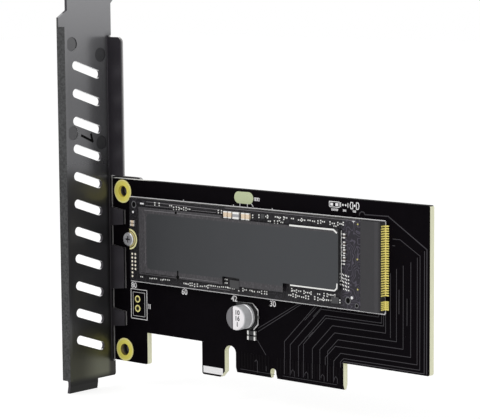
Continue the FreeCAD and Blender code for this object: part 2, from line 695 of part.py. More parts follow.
def build_module_board():
    """Board of the drive, with the half-round notch for its screw and the keyed tongue for its socket."""
    body = new_body("module_board")
    end = "module_edge + module_length"
    shoulder = f"{end} - module_tongue_length"
    half, narrow = "module_width / 2", "module_tongue_width / 2"
    corners = [
        ("module_edge", f"module_axis - {half}"), (shoulder, f"module_axis - {half}"),
        (shoulder, f"module_axis - {narrow}"), (end, f"module_axis - {narrow}"),
        (end, f"module_axis + {narrow}"), (shoulder, f"module_axis + {narrow}"),
        (shoulder, f"module_axis + {half}"), ("module_edge", f"module_axis + {half}"),
    ]
    pad(body, "blank", outline(body, "module_outline", "XZ_Plane", corners, height=MODULE_REAR),
        "module_thickness")
    notch = circles(body, "notch_outline", "XZ_Plane", [("module_edge", "module_axis")], "module_notch",
                    height=MODULE_FACE)
    pocket(body, "screw_notch", notch, "module_thickness + 0.5")
    key = "module_axis - module_key_offset"
    slot = rectangle(body, "key_outline", "XZ_Plane", f"{shoulder} + 0.2", f"{key} - module_key_width / 2",
                     f"{end} + 1", f"{key} + module_key_width / 2", height=MODULE_FACE)
    last = pocket(body, "key_slot", slot, "module_thickness + 0.5")
    tongue = SIZES["module_tongue_width"] / 2
    tips = [(SIZES["module_edge"] + SIZES["module_length"], SIZES["module_axis"] + side * tongue)
            for side in (-1, 1)]
    bevel_edges(body, "tongue_corners", last, edges_along(last, "y", tips), "module_tongue_length / 4")


def build_module_land():
    """Bright half ring round the screw notch of the drive."""
    body = new_body("module_screw_land")
    centre = [("module_edge", "module_axis")]
    pad(body, "land", circles(body, "land_outline", "XZ_Plane", centre, "module_land", height=MODULE_FACE),
        "land_thickness")
    pocket(body, "land_bore", circles(body, "land_bore_outline", "XZ_Plane", centre, "module_notch"))
    outside = rectangle(body, "outside_outline", "XZ_Plane", "module_edge - module_land",
                        "module_axis - module_land", "module_edge", "module_axis + module_land")
    pocket(body, "outside", outside)


def build_module_contacts():
    """Gold contacts on the tongue of the drive, interrupted at its key."""
    body = new_body("module_contacts")
    end = "module_edge + module_length"
    half = "module_pad_width / 2"
    pitch = "module_pad_pitch"
    first_long = "module_axis - module_key_offset + 2.5 * module_pad_pitch"
    first_short = "module_axis - module_key_offset - 2.5 * module_pad_pitch"
    for group, centre, count, backwards in (("long", first_long, "long_row_count", False),
                                            ("short", first_short, "short_row_count", True)):
        sketch = rectangle(body, f"{group}_contact_outline", "XZ_Plane",
                           f"{end} - module_tongue_length / 4 - module_pad_length", f"{centre} - {half}",
                           f"{end} - module_tongue_length / 4", f"{centre} + {half}", height=MODULE_FACE)
        contact = pad(body, f"{group}_contact", sketch, "land_thickness / 2")
        repeat(body, f"{group}_row", contact, "Z_Axis", pitch, count, backwards=backwards)


def module_block(body, name, from_end, length, foot, width, height):
    """Rectangular part that stands on the face of the drive, at its place along it."""
    left = f"module_edge + {along_drive(from_end)}"
    sketch = rectangle(body, f"{name}_outline", "XZ_Plane", left, foot, f"{left} + {length}",
                       f"{foot} + {width}", height=MODULE_FACE)
    return pad(body, f"{name}_block", sketch, height)


def build_module_packages():
    """Chip packages under the drive's label."""
    pitch = "memory_length + memory_space"
    centred = "module_axis - {0}_width / 2"
    for name, kind, left, shift in (
            ("first_memory", "memory", "memory_from_end", "0"),
            ("second_memory", "memory", f"memory_from_end + {pitch}", "0"),
            ("cache_memory", "cache", "cache_from_end", "0"),
            ("controller", "controller", "controller_from_end", "controller_shift")):
        module_block(new_body(name), name, left, along_drive(f"{kind}_length"),
                     f"{centred.format(kind)} + {shift}", f"{kind}_width", "package_thickness")


def build_label():
    """Thin label over the packages, stepped where they narrow and open at the power parts."""
    body = new_body("module_label")
    left = f"module_edge + {along_drive('label_from_end')}"
    right = f"module_edge + {along_drive('label_from_end + label_length')}"
    top, foot = "module_axis + label_top", "module_axis - label_bottom"
    step = f"module_edge + {along_drive('label_step_from_end')}"
    waist = f"module_edge + {along_drive('label_waist_from_end')}"
    window = f"module_edge + {along_drive('label_step_from_end + label_window')}"
    corners = [
        (left, foot), (step, foot), (step, f"{foot} + label_window_height"),
        (window, f"{foot} + label_window_height"), (window, foot),
        (waist, foot), (waist, f"{foot} + label_foot_step"), (right, f"{foot} + label_foot_step"),
        (right, f"{top} - label_step"), (step, f"{top} - label_step"), (step, top), (left, top),
    ]
    sheet_outline = outline(body, "label_outline", "XZ_Plane", corners,
                            height=f"{MODULE_FACE} + package_thickness")
    last = pad(body, "label", sheet_outline, "label_thickness")
    reach = (SIZES["label_from_end"] + SIZES["label_length"]) * SIZES["module_length"] / SIZES["layout_length"]
    round_edges(body, "label_rounds", last, edges_along(last, "y", [(SIZES["module_edge"] + reach, None)]),
                "label_corner")


def build_module_small_parts():
    """Capacitors, coil and regulator on the face of the drive."""
    upper = "module_axis + module_width / 2 - edge_parts_offset - tall_capacitor_width"
    for pair in ("first", "second"):
        body = new_body(f"{pair}_tall_capacitors")
        single = module_block(body, "tall_capacitor", f"{pair}_pair_from_end", "tall_capacitor_length", upper,
                              "tall_capacitor_width", "tall_capacitor_height")
        repeat(body, "pair", single, "X_Axis", "tall_capacitor_pitch", "2")
    module_block(new_body("power_coil"), "power_coil", "coil_from_end", "coil_length", upper,
                 "tall_capacitor_width", "coil_height")
    module_block(new_body("power_regulator"), "power_regulator", "regulator_from_end", "regulator_length",
                 "module_axis - regulator_offset", "regulator_width", "regulator_height")
    for name, place, count in (("end_capacitor", "end_capacitor_offset", "2"),
                               ("bus_capacitor", "bus_capacitor_foot", "bus_capacitor_count")):
        body = new_body(f"{name}s")
        single = module_block(body, name, f"{name}_from_end", f"{name}_length", f"module_axis + {place}",
                              f"{name}_width", f"{name}_height")
        repeat(body, "row", single, "Z_Axis", f"{name}_pitch", count)


def build_socket():
    """Moulded M.2 socket: a cap over the drive's tongue, a shelf under it and two locating pegs."""
    body = new_body("socket_housing")
    front, back = SOCKET_FRONT, f"{SOCKET_FRONT} + socket_cap"
    foot, head = "module_axis - socket_width / 2", "module_axis + socket_width / 2"
    block = rectangle(body, "cap_outline", "XZ_Plane", front, foot, back, head)
    pad(body, "cap", block, "socket_height")
    shelf = rectangle(body, "shelf_outline", "XZ_Plane", f"{front} - socket_shelf", foot, front, head)
    pad(body, "shelf", shelf, f"{MODULE_REAR} - socket_slot_clearance")
    mouth = rectangle(body, "slot_outline", "YZ_Plane", f"-({MODULE_FACE}) - socket_slot_clearance",
                      "module_axis - module_tongue_width / 2 - socket_slot_clearance",
                      f"-({MODULE_REAR}) + socket_slot_clearance",
                      "module_axis + module_tongue_width / 2 + socket_slot_clearance", height=front)
    pocket(body, "slot", mouth, "socket_slot_depth", outward=True)
    rib_axis = "module_axis - module_key_offset"
    rib = rectangle(body, "rib_outline", "YZ_Plane", f"-({MODULE_FACE}) - socket_slot_clearance",
                    f"{rib_axis} - socket_rib / 2", f"-({MODULE_REAR}) + socket_slot_clearance",
                    f"{rib_axis} + socket_rib / 2", height=f"{front} + socket_rib_setback")
    last = pad(body, "rib", rib, "socket_slot_depth - socket_rib_setback")
    x_back = SIZES["module_edge"] + SIZES["module_length"] - SIZES["socket_grip"] + SIZES["socket_cap"]
    last = bevel_edges(body, "cap_bevels", last,
                       edges_along(last, "z", [(x_back, -SIZES["socket_height"])]), "socket_bevel")
    pegs = circles(body, "peg_outline", "XZ_Plane", [(PEG_FROM_EDGE, height) for height in PEG_HEIGHTS],
                   "peg_diameter")
    pad(body, "pegs", pegs, "peg_length", inward=True)


def build_socket_tails():
    """Bent contact tails behind the socket, soldered to the board in a long and a short row."""
    body = new_body("socket_tails")
    back = f"{SOCKET_FRONT} + socket_cap"
    corners = [(back, "0"), (f"{back} + tail_reach", "0"), (f"{back} + tail_reach", "-tail_metal"),
               (f"{back} + tail_metal", "-tail_metal"), (f"{back} + tail_metal", "-tail_rise"),
               (back, "-tail_rise")]
    for group in ("long", "short"):
        sketch = outline(body, f"{group}_tail_outline", "XY_Plane", corners, height=f"{group}_row_foot")
        tail = pad(body, f"{group}_tail", sketch, "tail_pin_width")
        repeat(body, f"{group}_tails", tail, "Z_Axis", f"{group}_row_pitch", f"{group}_row_count")


def build_capacitor():
    """Electrolytic capacitor: a crimped can on a square base with two chamfered corners and two leads."""
    body = new_body("capacitor_can")
    sketch = new_sketch(body, "can_profile", "XY_Plane", across="can_from_edge", height="can_axis")
    low, top = "-can_base_height", "-can_base_height - can_height"
    wall, waist = "can_diameter / 2", "can_diameter / 2 - can_groove"
    groove = f"{low} - can_groove_height"
    draw_outline(sketch, [
        ("0", low), (f"{wall} - can_groove / 2", low), (wall, f"{low} - can_groove / 2"), (wall, groove),
        (waist, f"{groove} - can_groove_width / 2"), (wall, f"{groove} - can_groove_width"),
        (wall, f"{top} + can_shoulder"), (f"{wall} - can_shoulder / 4", f"{top} + can_shoulder / 4"),
        (f"{wall} - can_shoulder", top), ("0", top)])
    doc.recompute()
    turned = body.newObject("PartDesign::Revolution", "can")
    turned.Profile = sketch
    turned.ReferenceAxis = (sketch, ["V_Axis"])
    turned.Angle = 360.0
    doc.recompute()
    body = new_body("capacitor_base")
    half, cut = "can_base_size / 2", "can_base_chamfer"
    corners = [
        (f"-{half}", f"-{half}"), (f"{half} - {cut}", f"-{half}"), (half, f"{cut} - {half}"),
        (half, f"{half} - {cut}"), (f"{half} - {cut}", half), (f"-{half}", half)]
    sketch = new_sketch(body, "base_outline", "XZ_Plane", across="can_from_edge", along="can_axis",
                        height="can_lead_metal")
    draw_outline(sketch, corners)
    doc.recompute()
    pad(body, "base", sketch, "can_base_height - can_lead_metal")
    body = new_body("capacitor_leads")
    for name, side in (("near", "-1"), ("far", "1")):
        edge = f"{side} * can_base_size / 2"
        sketch = new_sketch(body, f"{name}_lead_outline", "XZ_Plane", across="can_from_edge", along="can_axis")
        draw_outline(sketch, box_corners(f"{edge} + {side} * can_lead_reach", "-can_lead_width / 2",
                                         f"{edge} + {side} * (can_lead_reach - can_lead_length)",
                                         "can_lead_width / 2"))
        doc.recompute()
        pad(body, f"{name}_lead", sketch, "can_lead_metal")


def build_board_chips():
    """Two chip resistors below the capacitor."""
    body = new_body("board_resistors")
    sketch = rectangle(body, "chip_outline", "XZ_Plane", "board_chip_from_edge",
                       "board_chip_axis - board_chip_pitch - board_chip_width / 2",
                       "board_chip_from_edge + board_chip_length",
                       "board_chip_axis - board_chip_pitch + board_chip_width / 2")
    chip = pad(body, "chip", sketch, "board_chip_height")
    repeat(body, "chip_pair", chip, "Z_Axis", "board_chip_pitch", "2")


def check_model():
    """Refuse a failed feature, a cut that cuts nothing, or a sub-part without sound solids."""
    doc.recompute()
    for thing in doc.Objects:
        if {"Invalid", "Error"} & set(thing.State):
            raise RuntimeError(f"{thing.Label}: {thing.State}")
        if thing.isDerivedFrom("PartDesign::Pocket"):
            before = thing.BaseFeature.Shape.Volume
            if thing.Shape.Volume > before - 1e-6:
                raise RuntimeError(f"{thing.Label} cuts nothing")
    for subpart in subparts:
        shape = subpart.Shape
        if shape.isNull() or not shape.isValid() or not shape.Solids:
            raise RuntimeError(f"{subpart.Label} has no sound solid")


build_circuit_board()
build_rings()
build_edge_contacts("front_edge_contacts", "0", inward=False)
build_edge_contacts("rear_edge_contacts", "-board_thickness", inward=True)
build_bracket()
build_post()
build_screw()
build_module_board()
build_module_land()
build_module_contacts()
build_module_packages()
build_label()
build_module_small_parts()
build_socket()
build_socket_tails()
build_capacitor()
build_board_chips()
check_model()

os.makedirs("parts", exist_ok=True)
for subpart in subparts:
    subpart.Shape.exportStep(f"parts/{subpart.Label}.step")
print(f"{len(subparts)} sub-parts written")
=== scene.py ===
"""Looks of an adapter card for a flat solid-state drive: finishes, print, tracks, small parts and studio.

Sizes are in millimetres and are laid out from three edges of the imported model: along the card from the edge
beside the bracket, out from the component face, and up from the tips of the edge contacts.
"""

import logging
import math
import random
from dataclasses import dataclass, field
from enum import Enum
from typing import Any, Iterable, Optional, Sequence, Union

import bmesh
import bpy
from mathutils import Matrix, Vector


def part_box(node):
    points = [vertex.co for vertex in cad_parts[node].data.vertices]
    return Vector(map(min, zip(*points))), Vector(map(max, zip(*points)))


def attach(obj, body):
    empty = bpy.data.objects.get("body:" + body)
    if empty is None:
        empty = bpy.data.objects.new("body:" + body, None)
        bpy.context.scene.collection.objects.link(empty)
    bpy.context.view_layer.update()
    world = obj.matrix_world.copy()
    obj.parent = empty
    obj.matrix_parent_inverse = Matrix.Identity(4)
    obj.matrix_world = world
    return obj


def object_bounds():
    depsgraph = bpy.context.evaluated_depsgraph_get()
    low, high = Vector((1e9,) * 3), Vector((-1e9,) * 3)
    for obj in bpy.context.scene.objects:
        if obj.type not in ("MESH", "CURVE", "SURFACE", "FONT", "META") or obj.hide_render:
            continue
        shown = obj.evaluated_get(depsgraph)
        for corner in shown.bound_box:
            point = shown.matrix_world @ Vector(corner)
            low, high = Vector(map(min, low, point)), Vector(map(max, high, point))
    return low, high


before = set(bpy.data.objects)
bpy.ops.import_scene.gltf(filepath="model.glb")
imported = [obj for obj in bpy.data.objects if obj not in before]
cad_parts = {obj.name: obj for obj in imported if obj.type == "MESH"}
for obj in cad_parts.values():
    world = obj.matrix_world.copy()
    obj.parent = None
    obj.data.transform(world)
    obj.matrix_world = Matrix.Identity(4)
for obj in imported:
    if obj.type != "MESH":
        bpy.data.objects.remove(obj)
CAD_BOX = [[float(value) for value in corner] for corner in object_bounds()]

LOG = logging.getLogger("adapter_card")
MM = 0.001
ROOT = "root"
UPRIGHT = Matrix.Rotation(math.pi / 2, 4, "X")
BRACKET_FACE = -0.33  # Inner face of the bracket's plate, along the card

Colour = tuple[float, float, float]
Spot = tuple[float, float]
Run = tuple[Spot, Spot, float]  # Start, end and width of a bar
Operand = Union["Socket", float]
Tone = Union["Socket", Colour]


class Slot(Enum):
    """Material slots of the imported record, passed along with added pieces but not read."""

    MASK = "solder_mask"
    GOLD = "gold_plate"
    STEEL = "bracket_steel"
    MODULE = "module_mask"
    LABEL = "label_film"
    TIN = "tinned_lead"
    CAN = "can_aluminium"
    RESIN = "package_resin"


@dataclass(frozen=True)
class Card:
    """Where sizes are laid out from: board edge beside the bracket, component face, contact tips."""

    edge: float
    face: float

    @classmethod
    def measured(cls) -> "Card":
        """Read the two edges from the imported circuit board."""
        low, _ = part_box("circuit_board")
        return cls(edge=low[0], face=low[1])

    def point(self, along: float, out: float, up: float) -> Vector:
        """Turn card sizes into a place in the model.

        Args:
            along: Distance from the bracket-side edge, in millimetres.
            out: Distance out from the component face.
            up: Height over the contact tips.

        Returns:
            The point, in metres.
        """
        return Vector((self.edge + along * MM, self.face - out * MM, up * MM))

    def out_of(self, node: str) -> float:
        """Tell how far a node stands out from the component face, in millimetres."""
        low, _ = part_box(node)
        return (self.face - low[1]) / MM

    def middle(self, node: str) -> Spot:
        """Tell where the middle of a node lies, along and up, in millimetres."""
        low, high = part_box(node)
        return ((low[0] + high[0]) / 2 - self.edge) / MM, (low[2] + high[2]) / 2 / MM


CARD = Card.measured()
SCREW_SPOT: Spot = (8.1, 31.6)
SCREW_HOLES: tuple[Spot, Spot] = (CARD.middle("upper_mounting_ring"), CARD.middle("lower_mounting_ring"))


class Socket:
    """Output of a shader node that turns Python arithmetic into Math nodes."""

    def __init__(self, shader: "Shader", link: bpy.types.NodeSocket) -> None:
        """Wrap one output of a node."""
        self.shader = shader
        self.link = link

    def math(self, operation: str, *operands: Operand) -> "Socket":
        """Add a Math node over this socket.

        Args:
            operation: Name of the Math node's operation.
            *operands: All of its operands, in order.

        Returns:
            The result's socket.
        """
        return self.shader.node("ShaderNodeMath", {"operation": operation}, dict(enumerate(operands)))[0]

    def __add__(self, other: Operand) -> "Socket":
        """Sum of two operands."""
        return self.math("ADD", self, other)

    __radd__ = __add__

    def __sub__(self, other: Operand) -> "Socket":
        """Difference of two operands."""
        return self.math("SUBTRACT", self, other)

    def __rsub__(self, other: Operand) -> "Socket":
        """Difference with this socket taken away."""
        return self.math("SUBTRACT", other, self)

    def __mul__(self, other: Operand) -> "Socket":
        """Product of two operands."""
        return self.math("MULTIPLY", self, other)

    __rmul__ = __mul__

    def __abs__(self) -> "Socket":
        """Size without its sign."""
        return self.math("ABSOLUTE", self)

    def __lt__(self, other: Operand) -> "Socket":
        """One where this socket is the lesser, else zero."""
        return self.math("LESS_THAN", self, other)

    def __gt__(self, other: Operand) -> "Socket":
        """One where this socket is the greater, else zero."""
        return self.math("GREATER_THAN", self, other)

    def at_least(self, other: Operand) -> "Socket":
        """Greater of two operands."""
        return self.math("MAXIMUM", self, other)

    def at_most(self, other: Operand) -> "Socket":
        """Lesser of two operands."""
        return self.math("MINIMUM", self, other)

    def fade(self, start: float, end: float) -> "Socket":
        """Run smoothly from zero at start to one at end.

        Args:
            start: Value at which the result is zero.
            end: Value at which it is one; it may be the lesser.

        Returns:
            The smooth step's socket.
        """
        flip = start > end
        low, high = (end, start) if flip else (start, end)
        ends = {"To Min": 1.0, "To Max": 0.0} if flip else {"To Min": 0.0, "To Max": 1.0}
        return self.shader.node("ShaderNodeMapRange", {"interpolation_type": "SMOOTHSTEP"},
                                {"Value": self, "From Min": low, "From Max": high, **ends})[0]


class Outputs:
    """Outputs of one node, by name or number."""

    def __init__(self, shader: "Shader", made: bpy.types.Node) -> None:
        """Keep the node and the shader it belongs to."""
        self.shader = shader
        self.made = made

    def __getitem__(self, key: Union[str, int]) -> Socket:
        """Wrap the output of that name or number."""
        return Socket(self.shader, self.made.outputs[key])


class Shader:
    """Material under construction, with the card's own coordinates in millimetres."""

    NOISE_ROUGHNESS = 0.6

    def __init__(self, name: str) -> None:
        """Start an empty material of that name."""
        self.material = bpy.data.materials.new(name)
        self.material.use_nodes = True
        self.tree = self.material.node_tree
        self.tree.nodes.clear()
        place = self.node("ShaderNodeTexCoord")["Object"]
        self.place = self.node("ShaderNodeVectorMath", {"operation": "SCALE"},
                               {0: place, "Scale": 1 / MM})[0]
        axes = self.node("ShaderNodeSeparateXYZ", {}, {"Vector": self.place})
        self.along = axes["X"] - CARD.edge / MM
        self.out = CARD.face / MM - axes["Y"]
        self.up = axes["Z"]
        facing = self.node("ShaderNodeNewGeometry")["True Normal"]
        self.facing = self.node("ShaderNodeSeparateXYZ", {}, {"Vector": facing})

    def node(self, kind: str, settings: Optional[dict[str, Any]] = None,
             inputs: Optional[dict[Union[str, int], Any]] = None) -> Outputs:
        """Add a node of any kind.

        Args:
            kind: Type name of the node.
            settings: Properties that are set first.
            inputs: Values or sockets of its inputs, by name or number.

        Returns:
            The node's outputs.
        """
        made = self.tree.nodes.new(kind)
        for name, value in (settings or {}).items():
            setattr(made, name, value)
        for key, value in (inputs or {}).items():
            if isinstance(value, Socket):
                self.tree.links.new(value.link, made.inputs[key])
            else:
                made.inputs[key].default_value = value
        return Outputs(self, made)

    def noise(self, size: float, detail: float = 2.0,
              stretch: tuple[float, float, float] = (1.0, 1.0, 1.0)) -> Socket:
        """Add cloudy variation around one half.

        Args:
            size: Width of a cloud, in millimetres.
            detail: Number of finer layers.
            stretch: Factor on each axis; a lesser one draws the clouds out along it.

        Returns:
            The variation's socket.
        """
        drawn = self.node("ShaderNodeVectorMath", {"operation": "MULTIPLY"}, {0: self.place, 1: stretch})[0]
        return self.node("ShaderNodeTexNoise", {}, {"Vector": drawn, "Scale": 1.0 / size, "Detail": detail,
                                                    "Roughness": self.NOISE_ROUGHNESS})[0]

    def mix(self, factor: Operand, first: Tone, second: Tone) -> Socket:
        """Blend two colours.

        Args:
            factor: Zero for the first colour, one for the second.
            first: A colour or a colour's socket.
            second: The other one.

        Returns:
            The blend's socket.
        """
        colours = [value if isinstance(value, Socket) else (*value, 1.0) for value in (first, second)]
        # Inputs 6 and 7 and output 2 are the node's colour sockets
        return self.node("ShaderNodeMix", {"data_type": "RGBA"}, {0: factor, 6: colours[0], 7: colours[1]})[2]

    def shade(self, colour: Tone, factor: Socket) -> Socket:
        """Brighten or darken a colour.

        Args:
            colour: A colour or a colour's socket.
            factor: What each of its parts is multiplied by.

        Returns:
            The shaded colour's socket.
        """
        grey = self.node("ShaderNodeCombineXYZ", {}, {0: factor, 1: factor, 2: factor})[0]
        return self.node("ShaderNodeVectorMath", {"operation": "MULTIPLY"}, {0: grey, 1: colour})[0]

    def panel(self, low: Spot, high: Spot, corner: float, soft: float = 0.05) -> Socket:
        """Mark the inside of a rounded rectangle on the card's face.

        Args:
            low: Its lower corner, along and up.
            high: Its upper corner.
            corner: Radius of its corners.
            soft: Half the width of its soft edge.

        Returns:
            One inside, zero outside.
        """
        across = abs(self.along - (low[0] + high[0]) / 2) - ((high[0] - low[0]) / 2 - corner)
        height = abs(self.up - (low[1] + high[1]) / 2) - ((high[1] - low[1]) / 2 - corner)
        over = across.at_least(0.0).math("POWER", across.at_least(0.0), 2.0)
        above = height.at_least(0.0).math("POWER", height.at_least(0.0), 2.0)
        reach = (over + above).math("SQRT", over + above) + across.at_least(height).at_most(0.0)
        return reach.fade(corner + soft, corner - soft)

    def distance(self, centre: Spot) -> Socket:
        """Measure how far a point lies from an axis that stands out of the card.

        Args:
            centre: Where the axis stands, along and up.

        Returns:
            The distance, in millimetres.
        """
        across, height = self.along - centre[0], self.up - centre[1]
        square = across * across + height * height
        return square.math("SQRT", square)

    def relief(self, height: Socket, depth: float, under: Optional[Socket] = None) -> Socket:
        """Turn a height into a bumpy normal.

        Args:
            height: Height between zero and one.
            depth: Real depth that one stands for, in millimetres.
            under: Normal to start from.

        Returns:
            The normal's socket.
        """
        inputs: dict[Union[str, int], Any] = {"Strength": 1.0, "Distance": depth * MM, "Height": height}
        if under is not None:
            inputs["Normal"] = under
        return self.node("ShaderNodeBump", {}, inputs)[0]

    def finish(self, **inputs: Any) -> bpy.types.Material:
        """Close the material with a principled surface.

        Args:
            **inputs: Its inputs, with underscores for spaces; a plain colour has three parts.

        Returns:
            The finished material.
        """
        values = {}
        for key, value in inputs.items():
            plain = isinstance(value, tuple) and len(value) == 3
            values[key.replace("_", " ")] = (*value, 1.0) if plain else value
        surface = self.node("ShaderNodeBsdfPrincipled", {}, values)[0]
        self.node("ShaderNodeOutputMaterial", {}, {"Surface": surface})
        return self.material


class Finish:
    """A surface finish, made into a material once."""

    made: dict["Finish", bpy.types.Material] = {}

    def build(self) -> bpy.types.Material:
        """Make the material; each finish has its own way."""
        raise NotImplementedError

    def material(self) -> bpy.types.Material:
        """Give the finish's only material.

        Returns:
            The material, made at the first call.
        """
        if self not in Finish.made:
            Finish.made[self] = self.build()
        return Finish.made[self]


@dataclass(frozen=True)
class MaskedLaminate(Finish):
    """Board under solder mask, with its bare laminate showing on sawn and routed edges."""

    name: str = "black_solder_mask"
    colour: Colour = (0.0032, 0.0024, 0.0035)
    laminate: Colour = (0.84, 0.84, 0.62)
    # Painted highlight on the board's top edge near the bracket
    top_highlight: Colour = (1.0, 1.0, 0.94)
    masked_top: Colour = (0.05, 0.05, 0.05)
    top_change: Spot = (9.0, 16.0)
    roughness: float = 0.36

    def build(self) -> bpy.types.Material:
        """Make the mask, its faint mottling and the layered edge, with a painted highlight on the top edge
        near the bracket.

        Returns:
            The material.
        """
        shader = Shader(self.name)
        edge = abs(shader.facing["Y"]) < 0.6
        mottle = shader.noise(3.0, 4.0)
        face = shader.shade(self.colour, mottle * 0.6 + 0.7)
        layers = shader.noise(0.35, 2.0, stretch=(0.05, 1.0, 0.05))
        # The top edge carries a painted highlight near the bracket and turns dark further along
        top = shader.mix(shader.along.fade(*self.top_change), self.top_highlight, self.masked_top)
        sawn = shader.shade(shader.mix(shader.facing["Z"] > 0.6, self.laminate, top), layers * 0.35 + 0.82)
        grain = shader.relief(shader.noise(0.5, 2.0), 0.004)
        return shader.finish(Base_Color=shader.mix(edge, face, sawn),
                             Roughness=edge * 0.3 + mottle * 0.08 + self.roughness,
                             Specular_IOR_Level=0.015, Normal=grain)


@dataclass(frozen=True)
class GoldPlate(Finish):
    """Soft yellow gold plate with faint wear."""

    name: str = "gold_plate"
    colour: Colour = (0.80, 0.66, 0.14)
    roughness: float = 0.32
    metallic: float = 0.6

    def build(self) -> bpy.types.Material:
        """Make the plate with its cloudy shade and fine scratches.

        Returns:
            The material.
        """
        shader = Shader(self.name)
        cloud = shader.noise(0.9, 4.0)
        scratch = shader.noise(0.12, 2.0, stretch=(1.0, 1.0, 0.15))
        return shader.finish(Base_Color=shader.shade(self.colour, cloud * 0.24 + 0.88),
                             Metallic=self.metallic, Roughness=cloud * 0.14 + self.roughness,
                             Normal=shader.relief(scratch, 0.003))


@dataclass(frozen=True)
class RingPlate(Finish):
    """Gold land round a plated hole, with a painted highlight on its outer rim and painted shade far inside
    the hole.
    """

    name: str
    centre: Spot
    bore: float
    radius: float
    wall: Colour
    colour: Colour = (1.0, 0.90, 0.17)
    # Painted highlight on the land's outer rim
    rim_highlight: Colour = (1.0, 0.93, 0.40)
    # Painted shade far inside the hole
    hole_shade: Colour = (0.025, 0.02, 0.015)
    mouth: float = 0.75
    # Where the painted highlight on the outer rim lies
    highlight_band: Spot = (0.55, 0.3)

    def build(self) -> bpy.types.Material:
        """Make the land, the painted highlight on its outer rim and the wall of the hole, darkened by painted
        shade far inside.

        Returns:
            The material.
        """
        shader = Shader(self.name)
        reach, lip = shader.distance(self.centre), self.bore / 2
        side = (abs(shader.facing["Y"]) < 0.5) * (reach < lip + 0.25)
        hole = side.at_least(reach.fade(lip + 0.12, lip + 0.02))
        cloud = shader.noise(0.9, 4.0)
        gold = shader.shade(self.colour, cloud * 0.2 + 0.9)
        # Painted highlight along the outer rim
        highlit = reach.fade(self.radius - self.highlight_band[0], self.radius - self.highlight_band[1]) * 0.8
        # The wall turns into painted shade far inside the hole
        inside = shader.mix(shader.out.fade(0.1 - self.mouth, -0.1 - self.mouth), self.wall, self.hole_shade)
        return shader.finish(Base_Color=shader.mix(hole, shader.mix(highlit, gold, self.rim_highlight), inside),
                             Metallic=0.02, Roughness=cloud * 0.14 + 0.34,
                             Normal=shader.relief(shader.noise(0.12, 2.0), 0.003))


